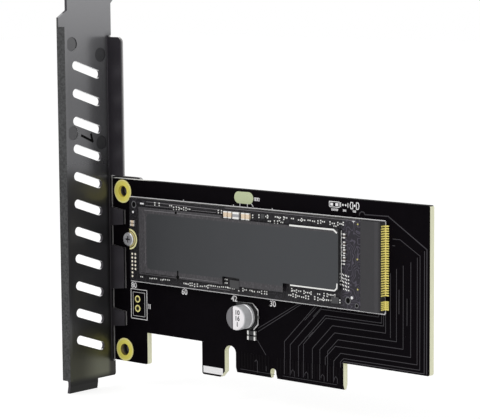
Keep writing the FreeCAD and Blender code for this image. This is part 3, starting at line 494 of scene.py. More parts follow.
@dataclass(frozen=True)
class DarkPlate(Finish):
    """Dark nickel plate of the bracket: glossy on the wide plate, dull and pebbled on its outer side, with
    painted reflection and shade on its inner side.
    """

    name: str = "dark_nickel"
    # Painted reflection: the inner plate pales from the lower tone to the upper one as it rises
    low_tone: Colour = (0.130, 0.130, 0.136)
    top_reflection: Colour = (0.29, 0.29, 0.30)
    # Painted shade on the lower plate, greenish and lighter on its far side
    foot_shade_near: Colour = (0.040, 0.040, 0.028)
    foot_shade_far: Colour = (0.112, 0.114, 0.084)
    # Painted shade on the bent tip
    tip: Colour = (0.012, 0.012, 0.011)
    # Painted shade in the fold
    crease: Colour = (0.02, 0.018, 0.021)
    # Painted shade in the dimples
    dimple_shade: Colour = (0.02, 0.02, 0.021)
    # Painted shade on the inner faces of the folded flanges
    flange: Colour = (0.036, 0.032, 0.039)
    outer: Colour = (0.034, 0.035, 0.036)
    # Painted shade inside the screw holes and in the corner where the board meets the plate
    bore: Colour = (0.010, 0.008, 0.008)
    cut: Colour = (0.38, 0.37, 0.37)
    punch: Colour = (0.80, 0.80, 0.81)
    reflection_rise: Spot = (66.0, 104.0)
    foot_rise: Spot = (14.0, 0.0)
    foot_reach: Spot = (4.5, 13.0)
    tip_rise: Spot = (-4.5, -6.5)
    crease_reach: Spot = (2.4, 0.7)
    crease_rise: Spot = (86.5, 84.0)
    # Where the painted shade in the board's corner lies
    root_run: Spot = (1.5, 0.5)
    root_rise: Spot = (52.0, 46.0)
    root_reach: Spot = (2.6, 1.1)
    dull_rise: Spot = (46.0, 62.0)
    rough_rise: Spot = (56.0, 44.0)
    burr: float = 0.42
    tapped: float = 1.4
    vents: Spot = (4.0, 14.5)
    vent_rows: Spot = (1.0, 82.0)
    bow: float = 0.083
    dimples: tuple[Spot, ...] = ((13.725, 59.95), (3.475, 56.85), (13.725, 83.1), (3.475, 80.0))
    dimple_radius: float = 1.85

    def dimple_mask(self, shader: Shader) -> Socket:
        """Mark the round dimples of the plate.

        Args:
            shader: The material under construction.

        Returns:
            One inside a dimple, zero outside.
        """
        nearest: Optional[Socket] = None
        for out, up in self.dimples:
            across, height = shader.out - out, shader.up - up
            square = across * across + height * height
            nearest = square if nearest is None else nearest.at_most(square)
        reach = nearest.math("SQRT", nearest)
        return reach.fade(self.dimple_radius + 0.08, self.dimple_radius - 0.08)

    def punched_mask(self, shader: Shader) -> Socket:
        """Mark the punched sides of the vents.

        Args:
            shader: The material under construction.

        Returns:
            One on them, zero elsewhere.
        """
        mask = (abs(shader.facing["X"]) < 0.5) * (shader.along < BRACKET_FACE + 0.02)
        for place, (low, high) in ((shader.out, self.vents), (shader.up, self.vent_rows)):
            mask = mask * (place > low) * (place < high)
        return mask

    def plate_tone(self, shader: Shader) -> Socket:
        """Colour the inner side of the wide plate: painted shade on its tip, its greenish foot, the fold and
        the dimples, and a painted reflection that makes its top paler.

        Args:
            shader: The material under construction.

        Returns:
            The colour's socket.
        """
        out, up = shader.out, shader.up
        # Painted reflection that makes the plate paler towards its top
        plate = shader.mix(up.fade(*self.reflection_rise), self.low_tone, self.top_reflection)
        # Painted shade on the lower plate
        foot = shader.mix(out.fade(*self.foot_reach), self.foot_shade_far, self.foot_shade_near)
        plate = shader.mix(up.fade(*self.foot_rise), plate, foot)
        # Painted shade on the tip
        plate = shader.mix(up.fade(*self.tip_rise), plate, self.tip)
        # Painted shade in the fold
        crease = out.fade(*self.crease_reach) * up.fade(*self.crease_rise)
        plate = shader.mix(crease * 0.65, plate, self.crease)
        # Painted shade in the dimples
        return shader.mix(self.dimple_mask(shader) * 0.5, plate, self.dimple_shade)

    def build(self) -> bpy.types.Material:
        """Make the plate, its pebbled outer side, its dull flanges in painted shade, painted shade in the
        screw holes and the board's corner, and its bright cut edges.

        Returns:
            The material.
        """
        shader = Shader(self.name)
        low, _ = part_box("bracket")
        near = (CARD.face - low[1]) / MM
        along, out, up, facing = shader.along, shader.out, shader.up, shader.facing
        folded = out < near - 2.0
        outside = (facing["X"] < -0.3).at_least((facing["Y"] < -0.3) * (out > near - 0.3))
        flange = (abs(facing["Y"]) > 0.3) * folded
        upper, lower = (shader.distance(spot) < self.tapped for spot in SCREW_HOLES)
        bored = upper.at_least(lower)
        sheet = (along > BRACKET_FACE + 0.25) * (1.0 - bored)
        free = (facing["X"] > 0.7) * sheet * (out < self.burr)
        ends = (abs(facing["Z"]) > 0.7) * sheet * folded
        cloud = shader.noise(6.0, 3.0)
        pebble = shader.noise(0.5, 2.0)
        fine = shader.noise(0.08, 2.0)
        # Painted shade in the corner where the board meets the plate
        root = along.fade(*self.root_run) * up.fade(*self.root_rise) * out.fade(*self.root_reach) * 0.45
        # Painted shade on the flanges' inner faces
        inner = shader.mix(root, shader.mix(flange, self.plate_tone(shader), self.flange), self.bore)
        # Painted shade inside the screw holes
        inner = shader.mix(bored, inner, self.bore)
        coat = shader.shade(self.outer, pebble.fade(0.34, 0.66) + 0.5)
        tone = shader.mix(free.at_least(ends), shader.mix(outside, inner, coat), self.cut)
        burred = shader.shade(self.punch, pebble.fade(0.35, 0.5) * 0.6 + 0.4)
        tone = shader.mix(self.punched_mask(shader), tone, burred)
        height = outside * pebble * 0.95 + fine * 0.04 + cloud * 0.4
        dull = (outside * 0.75).at_least(flange.at_least(free).at_least(bored) * 0.65)
        dull = dull.at_least(up.fade(*self.dull_rise) * 0.42 + 0.16)
        rough = outside * 0.28 + flange * 0.2 + up.fade(*self.rough_rise) * 0.1 + cloud * 0.06 + 0.21
        return shader.finish(Base_Color=tone, Metallic=1.0 - dull, Roughness=rough,
                             Normal=shader.relief(height, 0.05, shader.relief(out * self.bow, 1.0)))


@dataclass(frozen=True)
class BrightSteel(Finish):
    """Bright turned or tinned metal."""

    name: str = "bright_steel"
    colour: Colour = (0.56, 0.56, 0.58)
    roughness: float = 0.25

    def build(self) -> bpy.types.Material:
        """Make the metal with its fine turning marks.

        Returns:
            The material.
        """
        shader = Shader(self.name)
        cloud = shader.noise(0.5, 3.0)
        return shader.finish(Base_Color=shader.shade(self.colour, cloud * 0.3 + 0.85), Metallic=1.0,
                             Roughness=cloud * 0.2 + self.roughness - 0.05,
                             Normal=shader.relief(shader.noise(0.15, 2.0), 0.006))


@dataclass(frozen=True)
class ScrewFinish(Finish):
    """Bright screw whose recess is dark."""

    name: str = "bright_screw"
    colour: Colour = (0.60, 0.60, 0.62)
    shadow: Colour = (0.05, 0.05, 0.055)
    recess_depth: float = 0.15
    recess_radius: float = 1.05

    def build(self) -> bpy.types.Material:
        """Make the turned head and its shadowed recess.

        Returns:
            The material.
        """
        shader = Shader(self.name)
        head = CARD.out_of("module_screw")
        sunk = (shader.out < head - self.recess_depth) * (shader.distance(SCREW_SPOT) < self.recess_radius)
        cloud = shader.noise(0.4, 3.0)
        turned = shader.shade(self.colour, cloud * 0.5 + 0.72)
        return shader.finish(Base_Color=shader.mix(sunk, turned, self.shadow),
                             Metallic=0.85, Roughness=cloud * 0.2 + 0.25,
                             Normal=shader.relief(shader.noise(0.15, 2.0), 0.006))


@dataclass(frozen=True)
class LandFinish(Finish):
    """Half ring of gold round the screw, with a dark gap between its two bands."""

    name: str = "banded_land"
    inner: Colour = (0.70, 0.60, 0.22)
    outer: Colour = (0.95, 0.90, 0.46)
    dark: Colour = (0.05, 0.045, 0.035)
    gap: Spot = (2.08, 2.3)
    soft: float = 0.04

    def build(self) -> bpy.types.Material:
        """Make the two bands and the gap.

        Returns:
            The material.
        """
        shader = Shader(self.name)
        reach = shader.distance(SCREW_SPOT)
        low, high = self.gap
        gap = reach.fade(low - self.soft, low + self.soft) * reach.fade(high + self.soft, high - self.soft)
        bands = shader.mix(reach > high, self.inner, self.outer)
        cloud = shader.noise(0.5, 3.0)
        return shader.finish(Base_Color=shader.mix(gap, bands, self.dark), Metallic=0.12,
                             Roughness=cloud * 0.15 + 0.3, Normal=shader.relief(cloud, 0.004))


@dataclass(frozen=True)
class ModuleMask(Finish):
    """Dark solder mask of the drive, with faint tracks under it and a paler routed edge."""

    name: str = "drive_solder_mask"
    colour: Colour = (0.010, 0.009, 0.011)
    bare_end: Colour = (0.030, 0.027, 0.036)
    edge_colour: Colour = (0.12, 0.12, 0.11)
    end_change: Spot = (79.0, 81.5)
    bends: float = 13.0

    def build(self) -> bpy.types.Material:
        """Make the mask with wavy tracks showing through.

        Returns:
            The material.
        """
        shader = Shader(self.name)
        edge = abs(shader.facing["Y"]) < 0.6
        warp = shader.noise(5.0, 2.0) * self.bends
        ridges = abs(warp.math("FRACT", warp) - 0.5)
        tracks = ridges.fade(0.2, 0.05)
        speck = shader.noise(0.25, 2.0)
        ground = shader.mix(shader.along.fade(*self.end_change), self.colour, self.bare_end)
        tone = shader.shade(ground, tracks * 1.7 + speck * 0.8 + 0.35)
        return shader.finish(Base_Color=shader.mix(edge, tone, self.edge_colour),
                             Roughness=speck * 0.1 + 0.4, Specular_IOR_Level=0.2,
                             Normal=shader.relief(tracks, 0.012))


@dataclass(frozen=True)
class LabelFilm(Finish):
    """Dull grey film over the chips, with a paler rim round a plain rounded field."""

    name: str = "label_film"
    colour: Colour = (0.030, 0.033, 0.037)
    rim: Colour = (0.050, 0.047, 0.052)
    # Painted shade on the side faces of the film's step over the chips' edges
    dark: Colour = (0.004, 0.004, 0.004)
    low: Spot = (15.2, 24.4)
    high: Spot = (84.0, 39.0)
    corner: float = 1.3
    # Painted sheen: the field grows paler from the near end to the far end
    painted_sheen: Spot = (12.0, 70.0)
    # Where the painted shade on the step's side faces begins
    step: Spot = (60.0, 62.0)

    def build(self) -> bpy.types.Material:
        """Make the film with its field, its rim, a painted sheen that grows towards the far end, and painted
        shade on the side faces of its step over the chips' edges.

        Returns:
            The material.
        """
        shader = Shader(self.name)
        inner = shader.panel(self.low, self.high, self.corner, 0.15)
        cloud = shader.noise(7.0, 2.0)
        fine = shader.noise(0.2, 2.0)
        speck = shader.noise(0.35, 2.0, stretch=(1.0, 1.0, 0.6))
        rim = shader.shade(self.rim, speck.fade(0.42, 0.72) * 0.8 + 0.7)
        # Painted sheen rising along the field
        painted_sheen = shader.shade(self.colour, shader.along.fade(*self.painted_sheen) * 0.4 + 0.72)
        tone = shader.mix(inner, rim, painted_sheen)
        # Painted shade on the step's side faces
        step = (abs(shader.facing["Y"]) < 0.5) * shader.along.fade(*self.step)
        tinted = shader.mix(step, shader.mix(cloud * 0.2, tone, self.rim), self.dark)
        return shader.finish(Base_Color=tinted, Roughness=fine * 0.1 + 0.46, Specular_IOR_Level=0.4,
                             Normal=shader.relief(cloud * 0.7 + fine * 0.3, 0.02))


@dataclass(frozen=True)
class MouldedResin(Finish):
    """Moulded black or grey resin with a fine spark-eroded grain."""

    name: str = "package_resin"
    colour: Colour = (0.028, 0.028, 0.03)
    grain: float = 0.12
    band: Optional[Spot] = None
    soft: float = 0.3

    def build(self) -> bpy.types.Material:
        """Make the resin, with a paler upright band where one is named.

        Returns:
            The material.
        """
        shader = Shader(self.name)
        grain = shader.noise(self.grain, 3.0)
        factor = shader.noise(2.0, 2.0) * 0.2 + grain * 0.3 + 0.75
        if self.band is not None:
            low, high = self.band
            along = shader.along
            factor = factor + along.fade(low, low + self.soft) * along.fade(high + self.soft, high) * 0.35
        return shader.finish(Base_Color=shader.shade(self.colour, factor), Roughness=grain * 0.15 + 0.5,
                             Specular_IOR_Level=0.35, Normal=shader.relief(grain, 0.008))


@dataclass(frozen=True)
class ChipCeramic(Finish):
    """Ceramic chip part whose tinned ends lie at the given distance from its middle."""

    name: str
    colour: Colour
    centres: tuple[float, ...]
    half_body: float
    upright: bool = True
    tin: Colour = (0.86, 0.85, 0.83)

    def build(self) -> bpy.types.Material:
        """Make the ceramic and its tinned ends.

        Returns:
            The material.
        """
        shader = Shader(self.name)
        place = shader.up if self.upright else shader.along
        reach = abs(place - self.centres[0])
        for centre in self.centres[1:]:
            reach = reach.at_most(abs(place - centre))
        tinned = reach.fade(self.half_body - 0.03, self.half_body + 0.03)
        grain = shader.noise(0.2, 3.0)
        body = shader.shade(self.colour, grain * 0.3 + 0.85)
        return shader.finish(Base_Color=shader.mix(tinned, body, self.tin), Metallic=tinned * 0.6,
                             Roughness=grain * 0.2 + 0.35, Normal=shader.relief(grain, 0.01))


@dataclass(frozen=True)
class CanFinish(Finish):
    """Drawn aluminium can with a white lacquered end and a grey sector over its negative side."""

    name: str = "capacitor_can"
    lacquer: Colour = (0.90, 0.87, 0.89)
    sector: Colour = (0.16, 0.155, 0.165)
    side: Colour = (0.80, 0.80, 0.82)
    border: Colour = (0.055, 0.045, 0.055)
    sector_edge: float = 47.3
    border_width: Spot = (0.55, 0.3)
    end_out: float = 4.5

    def build(self) -> bpy.types.Material:
        """Make the bare side and the marked end.

        Returns:
            The material.
        """
        shader = Shader(self.name)
        end = (shader.facing["Y"] < -0.9) * (shader.out > self.end_out)
        past_edge = shader.along - self.sector_edge
        mark = past_edge.fade(0.04, -0.04)
        border = mark * past_edge.fade(-self.border_width[0], -self.border_width[1])
        marked = shader.mix(border, self.sector, self.border)
        brushed = shader.noise(0.15, 3.0, stretch=(1.0, 0.08, 1.0))
        bare = shader.shade(self.side, brushed * 0.3 + 0.85)
        tone = shader.mix(end, bare, shader.mix(mark, self.lacquer, marked))
        return shader.finish(Base_Color=tone, Metallic=(1.0 - end) * 0.3, Roughness=brushed * 0.15 + 0.28,
                             Normal=shader.relief(brushed, 0.006))


@dataclass(frozen=True)
class Ink(Finish):
    """Screen-printed ink or another thin dull layer, slightly uneven."""

    name: str = "white_ink"
    colour: Colour = (0.88, 0.87, 0.88)
    roughness: float = 0.6
    metallic: float = 0.0
    sheen: float = 0.3

    def build(self) -> bpy.types.Material:
        """Make the layer with its uneven thickness.

        Returns:
            The material.
        """
        shader = Shader(self.name)
        uneven = shader.noise(0.3, 3.0)
        return shader.finish(Base_Color=shader.shade(self.colour, uneven * 0.24 + 0.88),
                             Metallic=self.metallic, Roughness=uneven * 0.15 + self.roughness - 0.07,
                             Specular_IOR_Level=self.sheen, Normal=shader.relief(uneven, 0.004))


WHITE_INK = Ink()
TRACK_MASK = Ink("masked_copper", (0.056, 0.053, 0.059), 0.42, sheen=0.1)
BARE_WINDOW = Ink("bare_window", (0.52, 0.58, 0.36), 0.5)
TIN = Ink("tinned_pad", (0.86, 0.86, 0.84), 0.4, 0.08)
DOT_INK = Ink("pale_dot", (1.0, 0.93, 0.78), 0.45)
STAMP = Ink("stamped_mark", (0.003, 0.003, 0.003), 0.6, sheen=0.03)
GREY_INK = Ink("grey_ink", (0.20, 0.19, 0.20), 0.6)
DARK_INK = Ink("dark_ink", (0.035, 0.035, 0.04), 0.6)
HOLE_RIM = Ink("hole_rim", (0.16, 0.16, 0.165), 0.4)


def dress(finish: Finish, nodes: Iterable[str]) -> None:
    """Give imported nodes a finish.

    Args:
        finish: The finish they share.
        nodes: Their names.
    """
    for node in nodes:
        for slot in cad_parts[node].material_slots:
            slot.material = finish.material()
        LOG.info("dressed %s", node)


def deselect() -> None:
    """Leave nothing selected, so that an operator acts on what is added next."""
    if bpy.context.object and bpy.context.object.mode != "OBJECT":
        bpy.ops.object.mode_set(mode="OBJECT")
    bpy.ops.object.select_all(action="DESELECT")


def deliver(piece: bpy.types.Object, name: str, finish: Finish) -> bpy.types.Object:
    """Name a finished piece, dress it and fix it to the card.

    Args:
        piece: The piece, with its place in its mesh.
        name: Its name.
        finish: Its finish.

    Returns:
        The piece.
    """
    piece.name = name
    piece.data.name = name
    piece.data.materials.clear()
    piece.data.materials.append(finish.material())
    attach(piece, ROOT)
    LOG.info("made %s with %d faces", name, len(piece.data.polygons))
    return piece


class Layer:
    """Thin marks that lie on one plane of the card, drawn into a single mesh in edit mode."""

    SUNK = 0.01

    def __init__(self, name: str, out: float, height: float) -> None:
        """Start an empty layer.

        Args:
            name: Name of the piece it becomes.
            out: Distance of its plane out from the component face.
            height: How far its marks stand over that plane.
        """
        self.name = name
        self.plane = out
        self.height = height
        self.count = 0
        deselect()
        bpy.ops.object.add(type="MESH", location=(0.0, 0.0, 0.0))
        self.piece = bpy.context.object
        bpy.ops.object.mode_set(mode="EDIT")

    def bar(self, start: Spot, end: Spot, width: float, before: float = 0.0, after: float = 0.0) -> None:
        """Add one straight bar.

        Args:
            start: Where it starts, along and up.
            end: Where it ends.
            width: Its width.
            before: How far it runs on before its start.
            after: How far it runs on past its end.
        """
        run, rise = end[0] - start[0], end[1] - start[1]
        length = math.hypot(run, rise)
        shift = (after - before) / 2 / length
        middle = ((start[0] + end[0]) / 2 + run * shift, (start[1] + end[1]) / 2 + rise * shift)
        # Neighbours differ a little in height, so that no two faces of crossing bars lie in one plane
        height = self.height * (1.0 + 0.04 * (self.count % 3)) + self.SUNK
        self.count += 1
        bpy.ops.mesh.primitive_cube_add(
            size=MM, location=CARD.point(middle[0], self.plane - self.SUNK + height / 2, middle[1]),
            rotation=(0.0, -math.atan2(rise, run), 0.0), scale=(length + before + after, height, width))

    def line(self, spots: Sequence[Spot], width: float, closed: bool = False) -> None:
        """Add a run of bars that meet in sharp corners.

        Args:
            spots: The corners, along and up.
            width: Width of the line.
            closed: Whether the last corner joins the first.
        """
        corners = list(spots) + ([spots[0]] if closed else [])
        bars = list(zip(corners, corners[1:]))
        turns = []
        for first, second in zip(bars, bars[1:] + (bars[:1] if closed else [])):
            headings = [math.atan2(end[1] - start[1], end[0] - start[0]) for start, end in (first, second)]
            turn = abs((headings[1] - headings[0] + math.pi) % (2 * math.pi) - math.pi)
            turns.append(width / 2 * math.tan(min(turn, math.pi / 2) / 2))
        after = turns if closed else turns + [0.0]
        before = (turns[-1:] if closed else [0.0]) + turns[:len(bars) - 1]
        for (start, end), first, last in zip(bars, before, after):
            self.bar(start, end, width, first, last)

    def bars(self, runs: Iterable[Run]) -> None:
        """Add several straight bars.

        Args:
            runs: Start, end and width of each.
        """
        for start, end, width in runs:
            self.bar(start, end, width)

    def outline(self, low: Spot, high: Spot, width: float) -> None:
        """Add the outline of an upright rectangle.

        Args:
            low: Its lower corner, along and up.
            high: Its upper corner.
            width: Width of its line.
        """
        self.line([low, (high[0], low[1]), high, (low[0], high[1])], width, closed=True)

    def block(self, low: Spot, high: Spot) -> None:
        """Add a filled upright rectangle.

        Args:
            low: Its lower corner, along and up.
            high: Its upper corner.
        """
        self.bar((low[0], (low[1] + high[1]) / 2), (high[0], (low[1] + high[1]) / 2), high[1] - low[1])

    def disc(self, centre: Spot, diameter: float, sides: int = 14) -> None:
        """Add a filled disc.

        Args:
            centre: Its centre, along and up.
            diameter: Its diameter.
            sides: Number of sides of its outline.
        """
        height = self.height + self.SUNK
        bpy.ops.mesh.primitive_cylinder_add(
            vertices=sides, radius=diameter / 2 * MM, depth=height * MM,
            location=CARD.point(centre[0], self.plane - self.SUNK + height / 2, centre[1]),
            rotation=(math.pi / 2, 0.0, 0.0))

    def pill(self, low: Spot, high: Spot, sides: int = 26) -> None:
        """Add a level bar with round ends between two corners of the box round it.

        Args:
            low: Lower corner of its box, along and up.
            high: Upper corner of its box.
            sides: Number of sides of its two ends together.
        """
        middle = ((low[0] + high[0]) / 2, (low[1] + high[1]) / 2)
        self.disc(middle, high[1] - low[1], sides)
        spare = (high[0] - low[0] - (high[1] - low[1])) / 2 * MM
        centre = CARD.point(middle[0], 0.0, 0.0)[0]
        mesh = bmesh.from_edit_mesh(self.piece.data)
        for corner in mesh.verts:
            if corner.select:
                corner.co.x += math.copysign(spare, corner.co.x - centre)
        bmesh.update_edit_mesh(self.piece.data)

    def hoop(self, centre: Spot, across: float, tall: float, width: float, sides: int = 20) -> None:
        """Add an open ring, round or oval.

        Args:
            centre: Its centre, along and up.
            across: Its width.
            tall: Its height.
            width: Width of its line.
            sides: Number of bars it is made of.
        """
        turn = 2 * math.pi / sides
        self.line([(centre[0] + across / 2 * math.cos(turn * k), centre[1] + tall / 2 * math.sin(turn * k))
                   for k in range(sides)], width, closed=True)

    def soften(self, width: float) -> None:
        """Break the sharp edges of all its marks, for parts that stand up and don't lie flat.

        Args:
            width: Width of the broken edge.
        """
        bpy.ops.mesh.select_all(action="SELECT")
        bpy.ops.mesh.bevel(offset=width * MM, segments=1, affect="EDGES")

    def deliver(self, finish: Finish, slot: Slot) -> bpy.types.Object:
        """Close the layer and hand it over as a piece.

        Args:
            finish: What it is dressed in.

        Returns:
            The piece.
        """
        bpy.ops.object.mode_set(mode="OBJECT")
        return deliver(self.piece, self.name, finish)


@dataclass(frozen=True)
class Figure:
    """A printed plain number."""

    text: str
    centre: Vector
    height: float
    thickness: float = 0.02
    bold: float = 0.0
    capital_share: float = 0.7

    def build(self) -> bpy.types.Object:
        """Model the number as a closed upright mesh with its place in it.

        Returns:
            The mesh's object.
        """
        deselect()
        bpy.ops.object.text_add(location=(0.0, 0.0, 0.0))
        figure = bpy.context.object
        figure.data.body = self.text
        figure.data.align_x = "CENTER"
        figure.data.align_y = "CENTER"
        figure.data.size = self.height * MM / self.capital_share
        figure.data.extrude = self.thickness * MM
        figure.data.offset = self.bold * MM
        figure.data.resolution_u = 3
        bpy.ops.object.convert(target="MESH")
        figure = bpy.context.object
        figure.matrix_world = Matrix.Translation(self.centre) @ UPRIGHT
        bpy.ops.object.transform_apply(location=True, rotation=True, scale=True)
        bpy.ops.object.mode_set(mode="EDIT")
        bpy.ops.mesh.select_all(action="SELECT")
        bpy.ops.mesh.remove_doubles(threshold=1e-6)
        bpy.ops.object.mode_set(mode="OBJECT")
        return figure


def join(figures: Sequence[bpy.types.Object]) -> bpy.types.Object:
    """Join several meshes into one.

    Args:
        figures: The meshes.

    Returns:
        The first, which now holds them all.
    """
    deselect()
    for figure in figures:
        figure.select_set(True)
    bpy.context.view_layer.objects.active = figures[0]
    bpy.ops.object.join()
    return figures[0]


@dataclass
class Board:
    """Circuit board with its print, tracks, rings and contacts."""

    print_height: float = 0.03
    line: float = 0.24
    outline_low: Spot = (6.44, 20.1)
    outline_high: Spot = (91.7, 42.65)
    lengths: tuple[tuple[str, float], ...] = (("80", 7.6), ("60", 25.96), ("42", 43.31), ("30", 56.27))
    length_row: float = 18.95
    length_height: float = 1.45
    tick: float = 0.45
    header_frames: tuple[Run, ...] = (((6.46, 10.1), (12.3, 18.0), 0.17), ((7.2, 10.85), (11.5, 17.2), 0.09))
    header_marks: tuple[tuple[Spot, Spot], ...] = (((12.9, 13.2), (13.1, 14.5)), ((13.4, 13.2), (13.6, 14.5)))
    can_outline: tuple[Spot, ...] = ((44.27, 18.2), (49.5, 18.3), (51.25, 16.9), (51.25, 13.2), (49.8, 11.7))
    can_line: float = 0.36
    hook_block: tuple[Spot, Spot] = ((32.4, -1.35), (39.2, 0.4))
    socket_side: tuple[Run, ...] = (((91.85, 20.3), (91.85, 22.4), 0.3), ((91.85, 41.2), (91.85, 42.5), 0.3))
    lamp_frame: Run = ((74.6, 44.85), (77.7, 46.15), 0.16)
    lamp_pads: tuple[tuple[Spot, Spot], ...] = (
        ((74.93, 45.15), (75.77, 45.85)), ((76.53, 45.15), (77.37, 45.85)))
    resistor_ends: tuple[Run, ...] = (
        ((78.15, 45.0), (78.15, 46.1), 0.22), ((80.4, 45.0), (80.4, 46.1), 0.22))
    resistor_pads: tuple[Spot, ...] = ((78.85, 45.55), (79.7, 45.55))
    resistor_pad: float = 0.5
    chip_middle: Spot = (82.45, 45.6)
    chip_pad: float = 0.6
    chip_cheek: tuple[Spot, ...] = ((1.15, 44.8), (0.55, 44.8), (0.55, 46.35), (1.15, 46.35), (1.4, 45.6))
    chip_line: float = 0.2
    mark_rows: tuple[Spot, ...] = ((75.3, 77.4), (78.9, 79.65), (81.95, 82.75))
    mark_up: Spot = (43.95, 44.5)
    mark_width: float = 0.2
    mark_pitch: float = 0.36
    window: tuple[Spot, Spot] = ((43.6, 43.55), (50.0, 46.6))
    window_marks: tuple[float, ...] = (50.35, 50.95, 51.55)
    window_mark_width: float = 0.42
    window_mark_up: Spot = (44.6, 45.3)
    window_mark_line: float = 0.14
    window_legs: tuple[Run, ...] = (
        ((45.5, 42.8), (45.5, 43.7), 0.16), ((48.0, 42.8), (48.0, 43.7), 0.16),
        ((49.3, 43.8), (50.0, 43.0), 0.16))
    track: float = 0.15
    track_height: float = 0.025
    track_foot: float = 5.55
    fingers: tuple[tuple[float, float, float, float, float], ...] = (
        # Contact, height where it turns, height of its level run, the run's end, height where that ends
        (61.95, 9.3, 19.3, 89.8, 20.0), (64.6, 9.2, 17.9, 90.7, 20.0), (66.25, 10.0, 17.25, 91.3, 20.0),
        (69.1, 9.2, 15.6, 91.9, 20.1), (71.5, 9.2, 13.9, 95.15, 31.4), (73.95, 9.0, 12.3, 97.15, 32.4),
        (75.9, 6.9, 9.05, 101.3, 34.7))
    first_contact: float = 60.05
    paths: tuple[tuple[float, tuple[Spot, ...]], ...] = (
        # Width, then corners
        (track, ((first_contact, track_foot), (first_contact, 9.9), (69.9, 19.75))),
        (track, ((73.2, track_foot), (73.2, 7.4), (76.4, 10.6), (99.4, 10.6), (99.4, 33.4))),
        (track, ((78.0, track_foot), (78.0, 6.9), (79.0, 7.85), (102.1, 7.85), (102.1, 35.1), (96.2, 38.5),
                 (94.0, 38.5))),
        (0.18, ((78.5, 6.5), (79.1, 7.15), (103.4, 7.15), (103.4, 36.4))),
        (0.24, ((104.1, 7.1), (104.1, 36.8), (92.65, 43.8), (85.6, 43.7), (85.35, 44.2), (84.6, 44.35),
                (84.0, 43.95), (83.85, 43.3))),
        (track, ((93.35, 14.6), (93.35, 30.2))), (track, ((95.9, 20.6), (95.9, 26.5))),
        (track, ((98.3, 18.0), (98.3, 24.6))), (track, ((93.9, 36.9), (94.7, 36.9))),
        (track, ((51.3, 11.4), (65.7, 19.95))), (track, ((51.4, 12.3), (64.7, 19.95))),
        (track, ((51.0, 9.25), (53.9, 5.7))))
    slants: tuple[tuple[float, float, float], ...] = (
        # Start, low end and high end
        (66.7, 16.0, 19.6), (69.4, 17.2, 19.7), (67.9, 12.0, 13.4))
    slant_lean: float = 1.05
    contact_face: float = 0.08
    contact_start: float = 1.6
    hooks: tuple[float, ...] = (62.8, 67.2, 72.4, 76.6)
    hook_shape: tuple[Spot, ...] = ((-0.5, 2.1), (-0.5, 2.6), (0.0, 3.1), (0.5, 2.6), (0.5, 1.4))
    hook_line: float = 0.12
    short_hook: tuple[Spot, ...] = ((50.2, 3.6), (50.7, 4.1), (51.1, 3.7), (51.1, 0.9))
    short_hook_line: float = 0.14
    contact_lines: tuple[Run, ...] = (
        ((54.0, 1.6), (54.0, 2.9), 0.14), ((45.3, 1.1), (56.9, 1.1), 0.1), ((59.5, 1.1), (77.0, 1.1), 0.1))
    small_ring: float = 2.5
    # Hole walls of the small and large rings in painted shade; the upper ring's wall keeps bright gold
    small_wall_shade: Colour = (0.03, 0.025, 0.014)
    large_wall_shade: Colour = (0.20, 0.15, 0.03)
    bright_wall: Colour = (0.80, 0.66, 0.08)

    def dress_ring(self, node: str) -> None:
        """Give a plated ring its own plate, with the wall that its hole shows.

        Args:
            node: Name of the ring.
        """
        low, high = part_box(node)
        width = (high[0] - low[0]) / MM
        # Small and large holes take walls in painted shade
        bore, wall = (1.1, self.small_wall_shade) if width < self.small_ring else (3.0, self.large_wall_shade)
        if node == "upper_mounting_ring":
            wall = self.bright_wall
        dress(RingPlate(f"{node}_plate", CARD.middle(node), bore, width / 2, wall), [node])

    def dress(self) -> None:
        """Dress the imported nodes."""
        dress(MaskedLaminate(), ["circuit_board"])
        for node in sorted(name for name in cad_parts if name.endswith("_ring")):
            self.dress_ring(node)
        dress(GoldPlate("contact_gold", (0.72, 0.56, 0.2), 0.28), ["rear_edge_contacts"])
        dress(Ink("masked_contact", (0.0042, 0.0034, 0.0044), 0.4, sheen=0.02), ["front_edge_contacts"])

    def draw_outlines(self) -> None:
        """Print the drive's outline, its length ticks and the outlines round the pins and the capacitor."""
        layer = Layer("board_print", 0.0, self.print_height)
        foot, top = self.outline_low[1], self.outline_high[1]
        layer.outline(self.outline_low, self.outline_high, self.line)
        for _, along in self.lengths[1:]:
            layer.bar((along, foot - self.tick), (along, foot), self.line)
            layer.bar((along, top), (along, top + self.tick), self.line)
        for low, high, width in self.header_frames:
            layer.outline(low, high, width)
        for low, high in self.header_marks:
            layer.block(low, high)
        layer.line(self.can_outline, self.can_line)
        layer.block(*self.hook_block)
        layer.bars(self.socket_side)
        layer.deliver(WHITE_INK, Slot.MASK)

    def draw_footprints(self) -> None:
        """Print three empty small-part places above the drive, each over a tiny plain mark."""
        layer = Layer("part_footprints", 0.0, self.print_height)
        layer.outline(*self.lamp_frame)
        for low, high in self.lamp_pads:
            layer.block(low, high)
        layer.bars(self.resistor_ends)
        for spot in self.resistor_pads:
            layer.disc(spot, self.resistor_pad, 10)
        middle = self.chip_middle[0]
        for side in (-1, 1):
            cheek = [(middle + side * reach, up) for reach, up in self.chip_cheek]
            layer.line(cheek, self.chip_line, closed=True)
        layer.disc(self.chip_middle, self.chip_pad, 10)
        for start, stop in self.mark_rows:
            along = start
            while along < stop:
                layer.block((along, self.mark_up[0]), (along + self.mark_width, self.mark_up[1]))
                along += self.mark_pitch
        foot, top = self.window_mark_up
        for along in self.window_marks:
            layer.outline((along, foot), (along + self.window_mark_width, top), self.window_mark_line)
        layer.bars(self.window_legs)
        layer.deliver(WHITE_INK, Slot.MASK)

    def draw_numbers(self) -> None:
        """Print a plain length beside each post hole."""
        size = self.length_height
        numbers = [Figure(text, CARD.point(along, 0.0, self.length_row), size, bold=0.035).build()
                   for text, along in self.lengths]
        deliver(join(numbers), "length_numbers", WHITE_INK)

